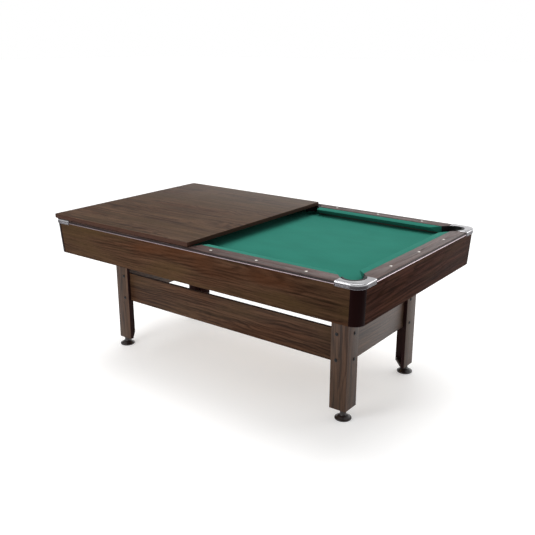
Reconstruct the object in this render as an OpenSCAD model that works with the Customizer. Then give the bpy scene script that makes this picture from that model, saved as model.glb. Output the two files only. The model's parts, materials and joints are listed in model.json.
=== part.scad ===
// Home pool table with a loose dining cover panel.
// Length along X, width along Y, up is +Z; the floor is z = 0 and the table is centred on X and Y.
// The near side is -Y, the far side +Y, the left end -X and the right end +X.

/* [Overall] */
// Length over the outer faces of the trim
outer_length = 2030; // [1700:10:2600]
// Width over the outer faces of the trim
outer_width = 1250; // [1000:10:1500]
// Height of the rail tops above the floor
rail_top_height = 820; // [740:1:900]
// Radius of the cabinet's vertical corners
corner_radius = 55; // [30:1:80]

/* [Bed] */
// Drop from the rail tops to the cloth
bed_drop = 44; // [38:0.5:55]
// Thickness of the bed cloth
cloth_thickness = 1; // [0.6:0.1:2]
// Thickness of the bed board
bed_thickness = 24; // [16:1:40]
// Distance of the bed board's edge from the outer faces
bed_edge_inset = 26; // [24:0.5:40]
// Width of a cross beam under the bed
beam_width = 30; // [18:1:60]
// Height of a cross beam under the bed
beam_height = 51; // [30:1:80]
// Clearance between a cross beam's end and the apron
beam_end_gap = 1; // [0.5:0.5:5]

/* [Cabinet] */
// Height of the aprons
apron_height = 181; // [140:1:240]
// Thickness of the aprons
apron_thickness = 18; // [12:1:25]
// Inward lean of the aprons from top to bottom
apron_lean = 10; // [0:1:25]
// Wall of the moulded corner posts
post_wall = 6; // [3:0.5:10]

/* [Trim] */
// How far the trim stands out from the rail
trim_stand = 3; // [1:0.5:5]
// Height of the trim strip
trim_height = 14; // [8:1:16]
// Thickness of the trim's web between its two beads
trim_web = 1.2; // [0.6:0.1:2]

/* [Rails] */
// Distance of the rail top's inner edge from the outer faces
rail_width = 82; // [60:1:120]
// Height of the rail cap that lies over the apron
rail_cap_height = 17; // [12:1:25]
// Distance of the rail's lower block from the outer faces
rail_block_inset = 24; // [23.5:0.5:30]
// Radius of the rail's outer top edge
rail_edge_radius = 3; // [1:0.5:3]
// Distance of the cushion noses from the outer faces
nose_inset = 130; // [110:1:160]
// Height of the cushion nose above the cloth
nose_height = 36; // [32:0.5:40]
// Radius of the cushion nose
nose_radius = 3; // [2:0.5:5]
// Height of the cushion's underside above the cloth
cushion_lift = 7; // [3:0.5:12]
// Width of the cushion's underside
cushion_foot = 12; // [6:1:20]

/* [Sights] */
// Radius of a rail sight
sight_radius = 7; // [4:0.5:9]
// Depth of a sight's recess in the rail top
sight_depth = 1.5; // [1:0.5:3]
// How far a sight stands proud of the rail top
sight_proud = 0.2; // [0:0.1:0.5]
// Radial clearance around a sight
sight_clearance = 0.1; // [0.05:0.05:0.3]
// Distance of the sights from the outer faces
sight_inset = 40; // [30:1:60]
// Distance between neighbouring sights on a long rail
sight_pitch = 281; // [200:1:320]
// Distance between neighbouring sights on an end rail
sight_pitch_end = 288; // [200:1:320]
// Distance of a long rail's middle sight from the table's centre
sight_middle = 431; // [380:1:500]

/* [Pockets] */
// Distance of a corner pocket's centre from both outer faces
corner_pocket_inset = 92; // [85:1:110]
// Radius of a corner pocket's hole
corner_pocket_radius = 58; // [50:1:64]
// Distance of a side pocket's centre from the outer face
side_pocket_inset = 84; // [80:1:100]
// Radius of a side pocket's hole
side_pocket_radius = 52; // [48:1:56]
// Half the side pocket's mouth between the cushion noses
side_mouth_half = 60; // [55:1:70]
// Radial gap between a pocket liner and its hole
liner_gap = 0.5; // [0.3:0.1:2]
// Wall of a pocket liner
liner_wall = 3; // [2:0.5:5]
// Depth of a pocket liner below the cloth
liner_depth = 134; // [110:1:150]
// Width of the liner's fixing rim under the bed
liner_rim = 8; // [5:0.5:10]
// Thickness of the liner's fixing rim
liner_rim_thickness = 3; // [2:0.5:5]
// Distance of the liner collar's top edge below the rail tops
liner_collar_drop = 3; // [1:0.5:10]
// Height of the liner screws above the cloth
liner_screw_height = 24; // [15:1:32]
// Radius of a liner screw's head
liner_screw_head = 5.5; // [3:0.5:7]
// Height of a liner screw's head
liner_screw_rise = 2.5; // [1:0.5:4]
// Radius of a liner screw's shank
liner_screw_shank = 2; // [1:0.5:3]
// Radial clearance of a liner screw in the liner
liner_screw_clearance = 0.2; // [0.1:0.1:0.5]

/* [Corner castings] */
// Reach of a corner casting along each side
casting_reach = 132; // [120:1:150]
// Width of a corner casting at its tips
casting_tip_width = 50; // [40:1:60]
// How far a casting stands out beyond the trim
casting_stand = 1; // [0:0.5:4]
// How far a casting stands above the rail tops
casting_rise = 2; // [0:0.5:4]
// Drop of the casting's flange below the rail cap
flange_drop = 6; // [4:0.5:25]
// Thickness of the casting's flange
flange_thickness = 3.7; // [2:0.1:3.9]

/* [Legs] */
// Distance between the legs' outer faces along the table
leg_span_x = 1616; // [1300:2:1900]
// Distance between the legs' outer faces across the table
leg_span_y = 728; // [600:2:1000]
// Width of a leg's long-side board
leg_width_x = 94; // [70:1:140]
// Width of a leg's end board
leg_width_y = 102; // [70:1:140]
// Thickness of the leg boards
leg_board = 20; // [15:1:30]
// Height of the leg's lower end above the floor
leg_bottom = 52; // [40:1:80]
// Thickness of the triangular base block
base_thickness = 18; // [12:1:30]

/* [Stretchers] */
// Height of the stretchers' lower edge above the floor
stretcher_bottom = 298; // [200:1:400]
// Height of a stretcher board
stretcher_height = 172; // [100:1:220]
// Thickness of a stretcher board
stretcher_thickness = 18; // [15:1:25]

/* [Leg bolts] */
// Distance of the bolts from a leg's outer corner along the table
bolt_inset_x = 63; // [50:1:75]
// Distance of the bolts from a leg's outer corner across the table
bolt_inset_y = 65; // [55:1:85]
// Distance of the bolts from the stretcher's edges
bolt_edge = 18; // [14:1:40]
// Radius of a bolt head
bolt_head = 9; // [6:0.5:12]
// Height of a bolt head
bolt_rise = 4; // [2:0.5:6]
// Radius of a bolt shank
bolt_shank = 4; // [3:0.5:5]
// Radial clearance of a bolt in its holes
bolt_clearance = 0.2; // [0.1:0.1:0.5]
// Wood left behind a bolt's blind hole in the stretcher
bolt_blind = 2; // [1:0.5:6]

/* [Levelling feet] */
// Distance of a foot's axis from the leg boards' inner faces
foot_offset = 9; // [7:1:20]
// Radius of a foot's disc
foot_radius = 43; // [30:1:55]
// Height of the disc's rim
foot_rim = 8; // [4:1:12]
// Height of the disc's dome
foot_dome = 22; // [14:1:30]
// Radius of the hub at the dome's top
foot_hub = 17; // [10:1:22]
// Gap between the hub and the base block
foot_gap = 1; // [0.5:0.5:4]
// Radius of the threaded stem
stem_radius = 5; // [4:0.5:6]
// Length of the stem above the base block
stem_above = 32; // [25:1:60]
// Radial running clearance of the stem
stem_clearance = 0.05; // [0.02:0.01:0.1]

/* [Cover panel] */
// Thickness of the cover panel
cover_thickness = 22; // [15:1:30]
// Gap between the rail tops and the cover panel, filled by its pads
cover_gap = 4; // [3:0.5:8]
// Left edge of the cover panel
cover_left = -1012; // [-1200:1:-900]
// Right edge of the cover panel
cover_right = 30; // [-100:1:200]
// Near edge of the cover panel
cover_near = -624; // [-700:1:-500]
// Far edge of the cover panel
cover_far = 560; // [500:1:700]
// Radius of the cover panel's two outer corners
cover_corner = 18; // [2:1:50]
// Width of a felt pad strip under the cover
pad_width = 12; // [8:1:30]
// Length of a felt pad strip under the cover
pad_length = 220; // [60:10:400]
// Distance of the pad strips' middle lines from the outer faces
pad_inset = 75; // [50:1:75]
// Air between the pads and the rails, so that the cover is a separate body
pad_air = 0.3; // [0.3:0.1:1]

/* [Hidden] */
half_length = outer_length / 2;
half_width = outer_width / 2;
cloth_top = rail_top_height - bed_drop;
bed_top = cloth_top - cloth_thickness;
bed_bottom = bed_top - bed_thickness;
apron_top = rail_top_height - rail_cap_height;
apron_bottom = apron_top - apron_height;
lean_angle = atan(sqrt(2) * apron_lean / apron_height);
nose_z = cloth_top + nose_height;
cushion_top = rail_top_height - 1;
jaw_run_rail = rail_width - casting_tip_width;
jaw_run_nose = nose_inset - casting_tip_width;
collar_top = rail_top_height - liner_collar_drop;
casting_top = rail_top_height + casting_rise;
leg_x = leg_span_x / 2;
leg_y = leg_span_y / 2;
foot_inset = leg_board + foot_offset;
stretcher_top = stretcher_bottom + stretcher_height;
bolt_heights = [stretcher_bottom + bolt_edge, stretcher_top - bolt_edge];
cover_bottom = rail_top_height + cover_gap;
far_out = 3 * outer_length;
eps = 1;
$fn = 96;

walnut = [0.27, 0.19, 0.15];
cloth_green = [0.21, 0.51, 0.44];
dark_plastic = [0.10, 0.06, 0.05];
metal = [0.80, 0.80, 0.82];

// Node to show, or "all"

// ---- frames: local x runs along a side, local y points inward from its outer face ----

module on_near() translate([0, -half_width, 0]) children();
module on_far() rotate([0, 0, 180]) on_near() children();
module on_right() translate([half_length, 0, 0]) rotate([0, 0, 90]) children();
module on_left() rotate([0, 0, 180]) on_right() children();

// Mirrors a shape built in the near left quarter into the quarter with signs sx, sy.
module quarter(sx, sy) mirror([sx > 0 ? 1 : 0, 0, 0]) mirror([0, sy > 0 ? 1 : 0, 0]) children();
// Local x and y point inward from the cabinet's outer corner.
module at_corner(sx, sy) quarter(sx, sy) translate([-half_length, -half_width, 0]) children();
// Local x and y point inward from the leg's outer corner.
module at_leg(sx, sy) quarter(sx, sy) translate([-leg_x, -leg_y, 0]) children();

// Extrudes a (y, z) section along x from x0 to x1.
module along(x0, x1) translate([x0, 0, 0]) rotate([90, 0, 90]) linear_extrude(x1 - x0) children();
// Extrudes an (x, z) outline along y from y0 to y1.
module across(y0, y1) translate([0, y1, 0]) rotate([90, 0, 0]) linear_extrude(y1 - y0) children();
// Extrudes a plan outline from z0 to z1.
module upright(z0, z1) translate([0, 0, z0]) linear_extrude(z1 - z0) children();

// ---- bed ----

module bed_plan() difference() {
  square([outer_length - 2 * bed_edge_inset, outer_width - 2 * bed_edge_inset], center = true);
  for (sx = [-1, 1], sy = [-1, 1])
    translate([sx * (half_length - corner_pocket_inset), sy * (half_width - corner_pocket_inset)])
      circle(corner_pocket_radius);
  for (sy = [-1, 1]) translate([0, sy * (half_width - side_pocket_inset)]) circle(side_pocket_radius);
}

module bed_board() color("tan") upright(bed_bottom, bed_top) bed_plan();
module bed_cloth() color(cloth_green) upright(bed_top, cloth_top) bed_plan();

module beam() {
  reach = half_width - trim_stand - apron_thickness - apron_lean - beam_end_gap;
  translate([leg_x, -reach, bed_bottom - beam_height]) cube([beam_width, 2 * reach, beam_height]);
}
module beam_left() color("burlywood") mirror([1, 0, 0]) beam();
module beam_right() color("burlywood") beam();

// ---- cabinet ----

// Leaning board with mitred ends that meet the corner posts; half is half the side's length.
module apron(half) intersection() {
  along(-half, half) polygon([
    [trim_stand, apron_top], [trim_stand + apron_thickness, apron_top],
    [trim_stand + apron_thickness + apron_lean, apron_bottom], [trim_stand + apron_lean, apron_bottom]]);
  across(0, corner_radius + apron_lean) polygon([
    [-(half - corner_radius), apron_top], [half - corner_radius, apron_top],
    [half - corner_radius - apron_lean, apron_bottom], [-(half - corner_radius - apron_lean), apron_bottom]]);
}
module apron_near() color(walnut) on_near() apron(half_length);
module apron_far() color(walnut) on_far() apron(half_length);
module apron_left() color(walnut) on_left() apron(half_width);
module apron_right() color(walnut) on_right() apron(half_width);

// Quarter-round shell that leans inward with the aprons.
module post(sx, sy) at_corner(sx, sy) intersection() {
  translate([corner_radius, corner_radius, apron_top]) rotate([0, 0, 45]) rotate([0, -lean_angle, 0])
    rotate([180, 0, 0]) difference() {
      translate([0, 0, -corner_radius]) cylinder(r = corner_radius - trim_stand, h = 2 * apron_height);
      translate([0, 0, -2 * corner_radius])
        cylinder(r = corner_radius - trim_stand - post_wall, h = 3 * apron_height);
    }
  across(-corner_radius, 2 * corner_radius) post_outline();
  along(-corner_radius, 2 * corner_radius) post_outline();
}
module post_outline() polygon([
  [-corner_radius, apron_top], [corner_radius, apron_top],
  [corner_radius + apron_lean, apron_bottom], [-corner_radius, apron_bottom]]);
module post_near_left() color(dark_plastic) post(-1, -1);
module post_near_right() color(dark_plastic) post(1, -1);
module post_far_left() color(dark_plastic) post(-1, 1);
module post_far_right() color(dark_plastic) post(1, 1);

// Two-bead strip along the rail's outer face, between the corner castings.
module trim(half) along(-(half - casting_reach), half - casting_reach) intersection() {
  translate([0, apron_top]) square([trim_stand, trim_height]);
  union() {
    translate([trim_stand - trim_web, apron_top]) square([trim_web, trim_height]);
    for (z = [trim_height / 4, trim_height * 3 / 4])
      translate([trim_stand, apron_top + z]) circle(trim_stand);
  }
}
module trim_near() color(metal) on_near() trim(half_length);
module trim_far() color(metal) on_far() trim(half_length);
module trim_left() color(metal) on_left() trim(half_width);
module trim_right() color(metal) on_right() trim(half_width);

// ---- rails and cushions ----

module rail_section() difference() {
  union() {
    translate([rail_block_inset, cloth_top]) square([rail_width - rail_block_inset, bed_drop]);
    translate([trim_stand, apron_top]) square([rail_width - trim_stand, rail_cap_height]);
  }
  difference() {
    translate([trim_stand - eps, rail_top_height - rail_edge_radius])
      square([rail_edge_radius + eps, rail_edge_radius + eps]);
    translate([trim_stand + rail_edge_radius, rail_top_height - rail_edge_radius]) circle(rail_edge_radius);
  }
}

module cushion_section() union() {
  polygon([
    [rail_width, cloth_top + cushion_lift], [rail_width + cushion_foot, cloth_top + cushion_lift],
    [nose_inset - nose_radius + nose_radius * sin(45), nose_z - nose_radius * cos(45)],
    [nose_inset - nose_radius, nose_z + nose_radius], [rail_width, cushion_top]]);
  translate([nose_inset - nose_radius, nose_z]) circle(nose_radius);
}

// Plan of a long half rail, from the table's middle to the corner casting.
module long_rail_plan() difference() {
  polygon([
    [0, trim_stand], [half_length - casting_reach, trim_stand],
    [half_length - casting_reach, casting_tip_width],
    [half_length - casting_reach - jaw_run_rail, rail_width], [0, rail_width]]);
  translate([0, side_pocket_inset]) circle(side_pocket_radius);
}
module end_rail_plan() {
  tip = half_width - casting_reach;
  polygon([[-tip, trim_stand], [tip, trim_stand], [tip, casting_tip_width], [tip - jaw_run_rail, rail_width],
    [-(tip - jaw_run_rail), rail_width], [-tip, casting_tip_width]]);
}

module long_rail(s) difference() {
  intersection() {
    along(-half_length, half_length) rail_section();
    upright(cloth_top - eps, rail_top_height + eps) mirror([s > 0 ? 0 : 1, 0, 0]) long_rail_plan();
  }
  for (k = [-1, 0, 1]) sight_at(s * (sight_middle + k * sight_pitch), sight_clearance, eps);
}
module end_rail() difference() {
  intersection() {
    along(-half_width, half_width) rail_section();
    upright(cloth_top - eps, rail_top_height + eps) end_rail_plan();
  }
  for (k = [-1, 0, 1]) sight_at(k * sight_pitch_end, sight_clearance, eps);
}
module rail_near_left() color(walnut) on_near() long_rail(-1);
module rail_near_right() color(walnut) on_near() long_rail(1);
module rail_far_left() color(walnut) on_far() long_rail(1);
module rail_far_right() color(walnut) on_far() long_rail(-1);
module rail_left() color(walnut) on_left() end_rail();
module rail_right() color(walnut) on_right() end_rail();

// A sight, or its recess when grown by a clearance and raised through the surface.
module sight_at(x, grow, rise) translate([x, sight_inset, rail_top_height - sight_depth])
  cylinder(r = sight_radius + grow, h = sight_depth + rise);
module sights() color("ivory") {
  for (s = [-1, 1], k = [-1, 0, 1]) {
    on_near() sight_at(s * (sight_middle + k * sight_pitch), 0, sight_proud);
    on_far() sight_at(s * (sight_middle + k * sight_pitch), 0, sight_proud);
  }
  for (k = [-1, 0, 1]) {
    on_left() sight_at(k * sight_pitch_end, 0, sight_proud);
    on_right() sight_at(k * sight_pitch_end, 0, sight_proud);
  }
}

side_jaw_back = sqrt(pow(side_pocket_radius, 2) - pow(side_pocket_inset - rail_width, 2));
module long_cushion(s) intersection() {
  along(-half_length, half_length) cushion_section();
  upright(cloth_top, rail_top_height) mirror([s > 0 ? 0 : 1, 0, 0]) polygon([
    [side_jaw_back, rail_width], [side_mouth_half, nose_inset],
    [half_length - casting_reach - jaw_run_nose, nose_inset],
    [half_length - casting_reach - jaw_run_rail, rail_width]]);
}
module end_cushion() {
  tip = half_width - casting_reach;
  intersection() {
    along(-half_width, half_width) cushion_section();
    upright(cloth_top, rail_top_height) polygon([
      [-(tip - jaw_run_rail), rail_width], [-(tip - jaw_run_nose), nose_inset],
      [tip - jaw_run_nose, nose_inset], [tip - jaw_run_rail, rail_width]]);
  }
}
module cushion_near_left() color(cloth_green) on_near() long_cushion(-1);
module cushion_near_right() color(cloth_green) on_near() long_cushion(1);
module cushion_far_left() color(cloth_green) on_far() long_cushion(1);
module cushion_far_right() color(cloth_green) on_far() long_cushion(-1);
module cushion_left() color(cloth_green) on_left() end_cushion();
module cushion_right() color(cloth_green) on_right() end_cushion();

// ---- corner castings ----

// Square outline with a rounded outer corner, inset by d from the cabinet's outer faces.
module rounded_corner(d) difference() {
  translate([d, d]) square(casting_reach - d);
  difference() {
    translate([d - eps, d - eps]) square(corner_radius - d + eps);
    translate([corner_radius, corner_radius]) circle(corner_radius - d);
  }
}
module casting(sx, sy) at_corner(sx, sy) {
  upright(apron_top, casting_top) difference() {
    rounded_corner(-casting_stand);
    translate([corner_pocket_inset, corner_pocket_inset]) circle(corner_pocket_radius);
    polygon([[casting_reach, casting_tip_width], [casting_reach + eps, casting_reach + eps],
      [casting_tip_width, casting_reach], [casting_tip_width - eps, casting_reach + eps],
      [casting_reach + 2 * eps, casting_reach + 2 * eps], [casting_reach + eps, casting_tip_width - eps]]);
    polygon([[casting_reach, casting_tip_width], [casting_tip_width, casting_reach],
      [casting_reach, casting_reach]]);
  }
  upright(apron_top - flange_drop, apron_top) difference() {
    rounded_corner(-casting_stand);
    rounded_corner(flange_thickness - casting_stand);
    translate([flange_thickness, flange_thickness]) square(far_out);
  }
}
module casting_near_left() color(metal) casting(-1, -1);
module casting_near_right() color(metal) casting(1, -1);
module casting_far_left() color(metal) casting(-1, 1);
module casting_far_right() color(metal) casting(1, 1);

// ---- pocket liners: a cup under the bed with a raised collar behind the pocket ----

module liner(r) {
  outer = r - liner_gap;
  inner = outer - liner_wall;
  difference() {
    union() {
      upright(cloth_top - liner_depth, bed_top) circle(outer);
      upright(bed_bottom - liner_rim_thickness, bed_bottom) circle(r + liner_rim);
      upright(bed_top - eps, collar_top) intersection() {
        circle(outer);
        translate([-outer, -outer]) square([2 * outer, outer]);
      }
    }
    upright(cloth_top - liner_depth + liner_wall, rail_top_height) circle(inner);
    liner_screw(inner, liner_screw_clearance);
  }
}
// Screw through the middle of the collar; with a clearance it is the hole alone.
module liner_screw(inner, grow) translate([0, -inner, cloth_top + liner_screw_height]) rotate([90, 0, 0]) {
  if (grow > 0) translate([0, 0, -liner_wall]) cylinder(r = liner_screw_shank + grow, h = 3 * liner_wall);
  else {
    translate([0, 0, -liner_screw_rise - liner_screw_sag(inner)])
      cylinder(r1 = liner_screw_head * 0.6, r2 = liner_screw_head, h = liner_screw_rise);
    translate([0, 0, -liner_screw_sag(inner)])
      cylinder(r = liner_screw_shank, h = liner_wall + liner_screw_sag(inner) - liner_screw_clearance);
  }
}
function liner_screw_sag(inner) = inner - sqrt(pow(inner, 2) - pow(liner_screw_head, 2));

module at_corner_pocket(sx, sy) at_corner(sx, sy)
  translate([corner_pocket_inset, corner_pocket_inset, 0]) rotate([0, 0, -45]) children();
module at_side_pocket() translate([0, side_pocket_inset, 0]) children();

module liner_near_left() color(dark_plastic) at_corner_pocket(-1, -1) liner(corner_pocket_radius);
module liner_near_right() color(dark_plastic) at_corner_pocket(1, -1) liner(corner_pocket_radius);
module liner_far_left() color(dark_plastic) at_corner_pocket(-1, 1) liner(corner_pocket_radius);
module liner_far_right() color(dark_plastic) at_corner_pocket(1, 1) liner(corner_pocket_radius);
module liner_near_side() color(dark_plastic) on_near() at_side_pocket() liner(side_pocket_radius);
module liner_far_side() color(dark_plastic) on_far() at_side_pocket() liner(side_pocket_radius);
module liner_screws() color(metal) {
  for (sx = [-1, 1], sy = [-1, 1])
    at_corner_pocket(sx, sy) liner_screw(corner_pocket_radius - liner_gap - liner_wall, 0);
  on_near() at_side_pocket() liner_screw(side_pocket_radius - liner_gap - liner_wall, 0);
  on_far() at_side_pocket() liner_screw(side_pocket_radius - liner_gap - liner_wall, 0);
}

// ---- legs ----

// Bolt through the leg's outer face into the stretcher; with a clearance it is the hole alone.
module leg_bolt(grow) rotate([-90, 0, 0]) {
  depth = leg_board + stretcher_thickness - bolt_blind;
  if (grow > 0) translate([0, 0, -eps]) cylinder(r = bolt_shank + grow, h = depth + eps);
  else {
    translate([0, 0, -bolt_rise]) cylinder(r = bolt_head, h = bolt_rise);
    cylinder(r = bolt_shank, h = depth - bolt_clearance);
  }
}
// All four bolts of one leg, in the leg's frame.
module bolts_of_leg(grow) for (z = bolt_heights) {
  translate([bolt_inset_x, 0, z]) leg_bolt(grow);
  translate([0, bolt_inset_y, z]) rotate([0, 0, -90]) leg_bolt(grow);
}

module leg(sx, sy) at_leg(sx, sy) difference() {
  upright(leg_bottom, bed_bottom) union() {
    square([leg_width_x, leg_board]);
    square([leg_board, leg_width_y]);
  }
  bolts_of_leg(bolt_clearance);
}
module leg_near_left() color(walnut) leg(-1, -1);
module leg_near_right() color(walnut) leg(1, -1);
module leg_far_left() color(walnut) leg(-1, 1);
module leg_far_right() color(walnut) leg(1, 1);

// Triangular block in the leg's foot end that carries the levelling foot.
module base(sx, sy) at_leg(sx, sy) difference() {
  upright(leg_bottom, leg_bottom + base_thickness)
    polygon([[leg_board, leg_board], [leg_width_x, leg_board], [leg_board, leg_width_y]]);
  translate([foot_inset, foot_inset, 0]) cylinder(r = stem_radius + stem_clearance, h = rail_top_height);
}
module base_near_left() color("dimgray") base(-1, -1);
module base_near_right() color("dimgray") base(1, -1);
module base_far_left() color("dimgray") base(-1, 1);
module base_far_right() color("dimgray") base(1, 1);

// ---- stretchers ----

module bolts_of_all_legs(grow) for (sx = [-1, 1], sy = [-1, 1]) at_leg(sx, sy) bolts_of_leg(grow);

module stretcher_long() difference() {
  translate([-(leg_x - leg_board), -(leg_y - leg_board), stretcher_bottom])
    cube([2 * (leg_x - leg_board), stretcher_thickness, stretcher_height]);
  bolts_of_all_legs(bolt_clearance);
}
module stretcher_end() {
  reach = leg_y - leg_board - stretcher_thickness;
  difference() {
    translate([leg_x - leg_board - stretcher_thickness, -reach, stretcher_bottom])
      cube([stretcher_thickness, 2 * reach, stretcher_height]);
    bolts_of_all_legs(bolt_clearance);
  }
}
module stretcher_near() color(walnut) stretcher_long();
module stretcher_far() color(walnut) rotate([0, 0, 180]) stretcher_long();
module stretcher_right() color(walnut) stretcher_end();
module stretcher_left() color(walnut) rotate([0, 0, 180]) stretcher_end();
module leg_bolts() color("black") bolts_of_all_legs(0);

// ---- levelling feet ----

module foot(sx, sy) at_leg(sx, sy) translate([foot_inset, foot_inset, 0]) {
  hub_top = leg_bottom - foot_gap;
  rotate_extrude() polygon([
    [0, 0], [foot_radius - 2, 0], [foot_radius, 2], [foot_radius, foot_rim],
    [(foot_radius + foot_hub) / 2, foot_rim + 0.62 * (foot_dome - foot_rim)],
    [foot_hub, foot_dome], [foot_hub - 2, hub_top], [stem_radius, hub_top],
    [stem_radius, leg_bottom + base_thickness + stem_above], [0, leg_bottom + base_thickness + stem_above]]);
}
module foot_near_left() color(dark_plastic) foot(-1, -1);
module foot_near_right() color(dark_plastic) foot(1, -1);
module foot_far_left() color(dark_plastic) foot(-1, 1);
module foot_far_right() color(dark_plastic) foot(1, 1);

// ---- cover panel ----

// Half panel whose two corners at the table's end are rounded; the other half butts on its right edge.
module cover_panel() color(walnut) upright(cover_bottom, cover_bottom + cover_thickness) union() {
  translate([cover_left + cover_corner, cover_near])
    square([cover_right - cover_left - cover_corner, cover_far - cover_near]);
  translate([cover_left, cover_near + cover_corner])
    square([2 * cover_corner, cover_far - cover_near - 2 * cover_corner]);
  for (y = [cover_near + cover_corner, cover_far - cover_corner])
    translate([cover_left + cover_corner, y]) circle(cover_corner);
}

module pad(x, y, lx, ly) translate([x - lx / 2, y - ly / 2, rail_top_height + pad_air])
  cube([lx, ly, cover_gap - pad_air]);
module cover_pads() color("dimgray") {
  near_y = -(half_width - pad_inset);
  far_y = half_width - pad_inset;
  for (x = [-half_length * 0.68, -half_length * 0.22], y = [near_y, far_y]) pad(x, y, pad_length, pad_width);
  for (y = [-half_width * 0.38, half_width * 0.38]) pad(-(half_length - pad_inset), y, pad_width, pad_length);
}

bed_board();
bed_cloth();
beam_left();
beam_right();
apron_near();
apron_far();
apron_left();
apron_right();
post_near_left();
post_near_right();
post_far_left();
post_far_right();
trim_near();
trim_far();
trim_left();
trim_right();
rail_near_left();
rail_near_right();
rail_far_left();
rail_far_right();
rail_left();
rail_right();
cushion_near_left();
cushion_near_right();
cushion_far_left();
cushion_far_right();
cushion_left();
cushion_right();
casting_near_left();
casting_near_right();
casting_far_left();
casting_far_right();
liner_near_left();
liner_near_right();
liner_far_left();
liner_far_right();
liner_near_side();
liner_far_side();
liner_screws();
sights();
leg_near_left();
leg_near_right();
leg_far_left();
leg_far_right();
base_near_left();
base_near_right();
base_far_left();
base_far_right();
stretcher_near();
stretcher_far();
stretcher_left();
stretcher_right();
leg_bolts();
foot_near_left();
foot_near_right();
foot_far_left();
foot_far_right();
cover_panel();
cover_pads();
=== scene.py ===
"""Home pool table with a dining cover panel, dressed over its fixed frame.

Lengths are in metres. The table is centred on X and Y and stands on z = 0; its length runs along X.
"""

import json
import math
from contextlib import contextmanager

import bmesh
import bpy
from mathutils import Matrix, Vector

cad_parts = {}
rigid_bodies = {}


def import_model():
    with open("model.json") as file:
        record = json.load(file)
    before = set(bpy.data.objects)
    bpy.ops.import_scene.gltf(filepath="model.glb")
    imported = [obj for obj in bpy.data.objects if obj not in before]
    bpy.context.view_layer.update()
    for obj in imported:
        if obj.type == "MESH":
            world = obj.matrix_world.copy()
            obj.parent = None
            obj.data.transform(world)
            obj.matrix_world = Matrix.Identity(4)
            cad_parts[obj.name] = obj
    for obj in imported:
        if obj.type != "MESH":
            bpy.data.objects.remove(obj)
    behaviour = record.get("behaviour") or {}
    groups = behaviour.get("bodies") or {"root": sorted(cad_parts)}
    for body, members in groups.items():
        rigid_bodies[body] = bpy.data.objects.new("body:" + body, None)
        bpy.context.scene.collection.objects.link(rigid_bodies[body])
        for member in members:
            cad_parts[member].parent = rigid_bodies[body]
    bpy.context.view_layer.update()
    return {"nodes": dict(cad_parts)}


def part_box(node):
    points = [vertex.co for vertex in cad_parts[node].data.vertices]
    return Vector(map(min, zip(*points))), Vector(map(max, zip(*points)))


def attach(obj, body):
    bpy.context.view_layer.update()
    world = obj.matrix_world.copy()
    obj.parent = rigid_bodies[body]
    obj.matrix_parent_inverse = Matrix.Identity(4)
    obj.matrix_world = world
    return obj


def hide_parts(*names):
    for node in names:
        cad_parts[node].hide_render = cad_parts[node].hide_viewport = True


bl_info = {
    "name": "Home pool table",
    "version": (1, 0, 0),
    "blender": (4, 5, 0),
    "location": "View3D > Sidebar > Pool table",
    "description": "Builds the visible pieces of a home pool table over its frame",
    "category": "Add Mesh",
}

for leftover in list(bpy.data.objects):
    bpy.data.objects.remove(leftover)
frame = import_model()
MM = 0.001
QUARTERS = ("near_left", "near_right", "far_left", "far_right")
SIDES = ("near", "far", "left", "right")

HALF_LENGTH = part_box("trim_right")[1].x
HALF_WIDTH = -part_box("trim_near")[0].y
CLOTH_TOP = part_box("bed_cloth")[1].z
BED_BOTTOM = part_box("bed_board")[0].z
APRON_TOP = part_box("apron_near")[1].z

# Sizes that the frame's solids have but their boxes don't show.
POST_CORNER = 55 * MM
CASTING_TIP = 50 * MM
CASTING_PLATE = 8.2 * MM
CASTING_NECK_INSET = 1.4 * MM
SKIRT_GROOVE = 1.7 * MM
SKIRT_WALL = 3.4 * MM
LINER_GAP = 0.5 * MM
LINER_WALL = 3 * MM
LINER_RIM = 8 * MM
LINER_RIM_THICKNESS = 3 * MM
SCREW_HEIGHT = 24 * MM
CUSHION_FOOT = 12 * MM
CUSHION_NOSE = 35.5 * MM
SIDE_JAW_LEAD = 8 * MM
LEG_BOARD = 20 * MM
BOLT_RISE = 4 * MM
BOLT_SHANK = 4 * MM
FOOT_HUB = 17 * MM
FOOT_GAP = 1 * MM
STEM_RADIUS = 5 * MM

# Outlines in millimetres: a screw's head and stub, and the edge of a foot as (in from the rim, up).
SCREW_OUTLINE = (
    (0, 3.0), (2.0, 2.9), (3.8, 2.3), (5.0, 1.2), (5.5, 0.3), (5.5, -0.4), (2, -0.4), (2, -3.2), (0, -3.2)
)
FOOT_EDGE = (
    (3.5, 0), (2.6, 1.2), (0.8, 1.8), (0, 3.0), (0, 6.8), (0.8, 8.2), (2.4, 9.0), (4.6, 9.0), (6.0, 9.7)
)

# Place, target and size of each softbox, and the way that the overhead light shines.
FILL_BOX = ((-0.5, -2.5, 1.0), (-0.3, 0, 0.6), 1.4)
BACK_BOX = ((4.2, 3.6, 0.6), (0.6, 0, 0.4), 2.6)
OVERHEAD_WAY = (0.25, -0.35, -1)
OVERHEAD_SPREAD = 50

# Light of the surround by height above the horizon, away from the bright right back and towards it.
SKY_HEIGHTS = (0.0, 0.055, 0.11, 0.62, 0.95)
SKY_AWAY = (1.0, 1.0, 0.20, 0.40, 0.95)
SKY_TOWARDS = (1.0, 1.0, 1.20, 0.90, 0.95)
SKY_BRIGHT_SIDE = (0.17, 0.98, 0)
SKY_SPREAD = (0.50, 0.82)


# ---------------------------------------------------------------- sizes and colours


def length(label, about, value, low=0.0, high=1.0):
    """A length in metres for a property group."""
    return bpy.props.FloatProperty(
        name=label, description=about, default=value, min=low, max=high, unit="LENGTH", precision=4
    )


def colour(label, about, value):
    """A linear colour for a property group."""
    return bpy.props.FloatVectorProperty(
        name=label, description=about, default=value, size=3, min=0, max=1, subtype="COLOR"
    )


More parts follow.
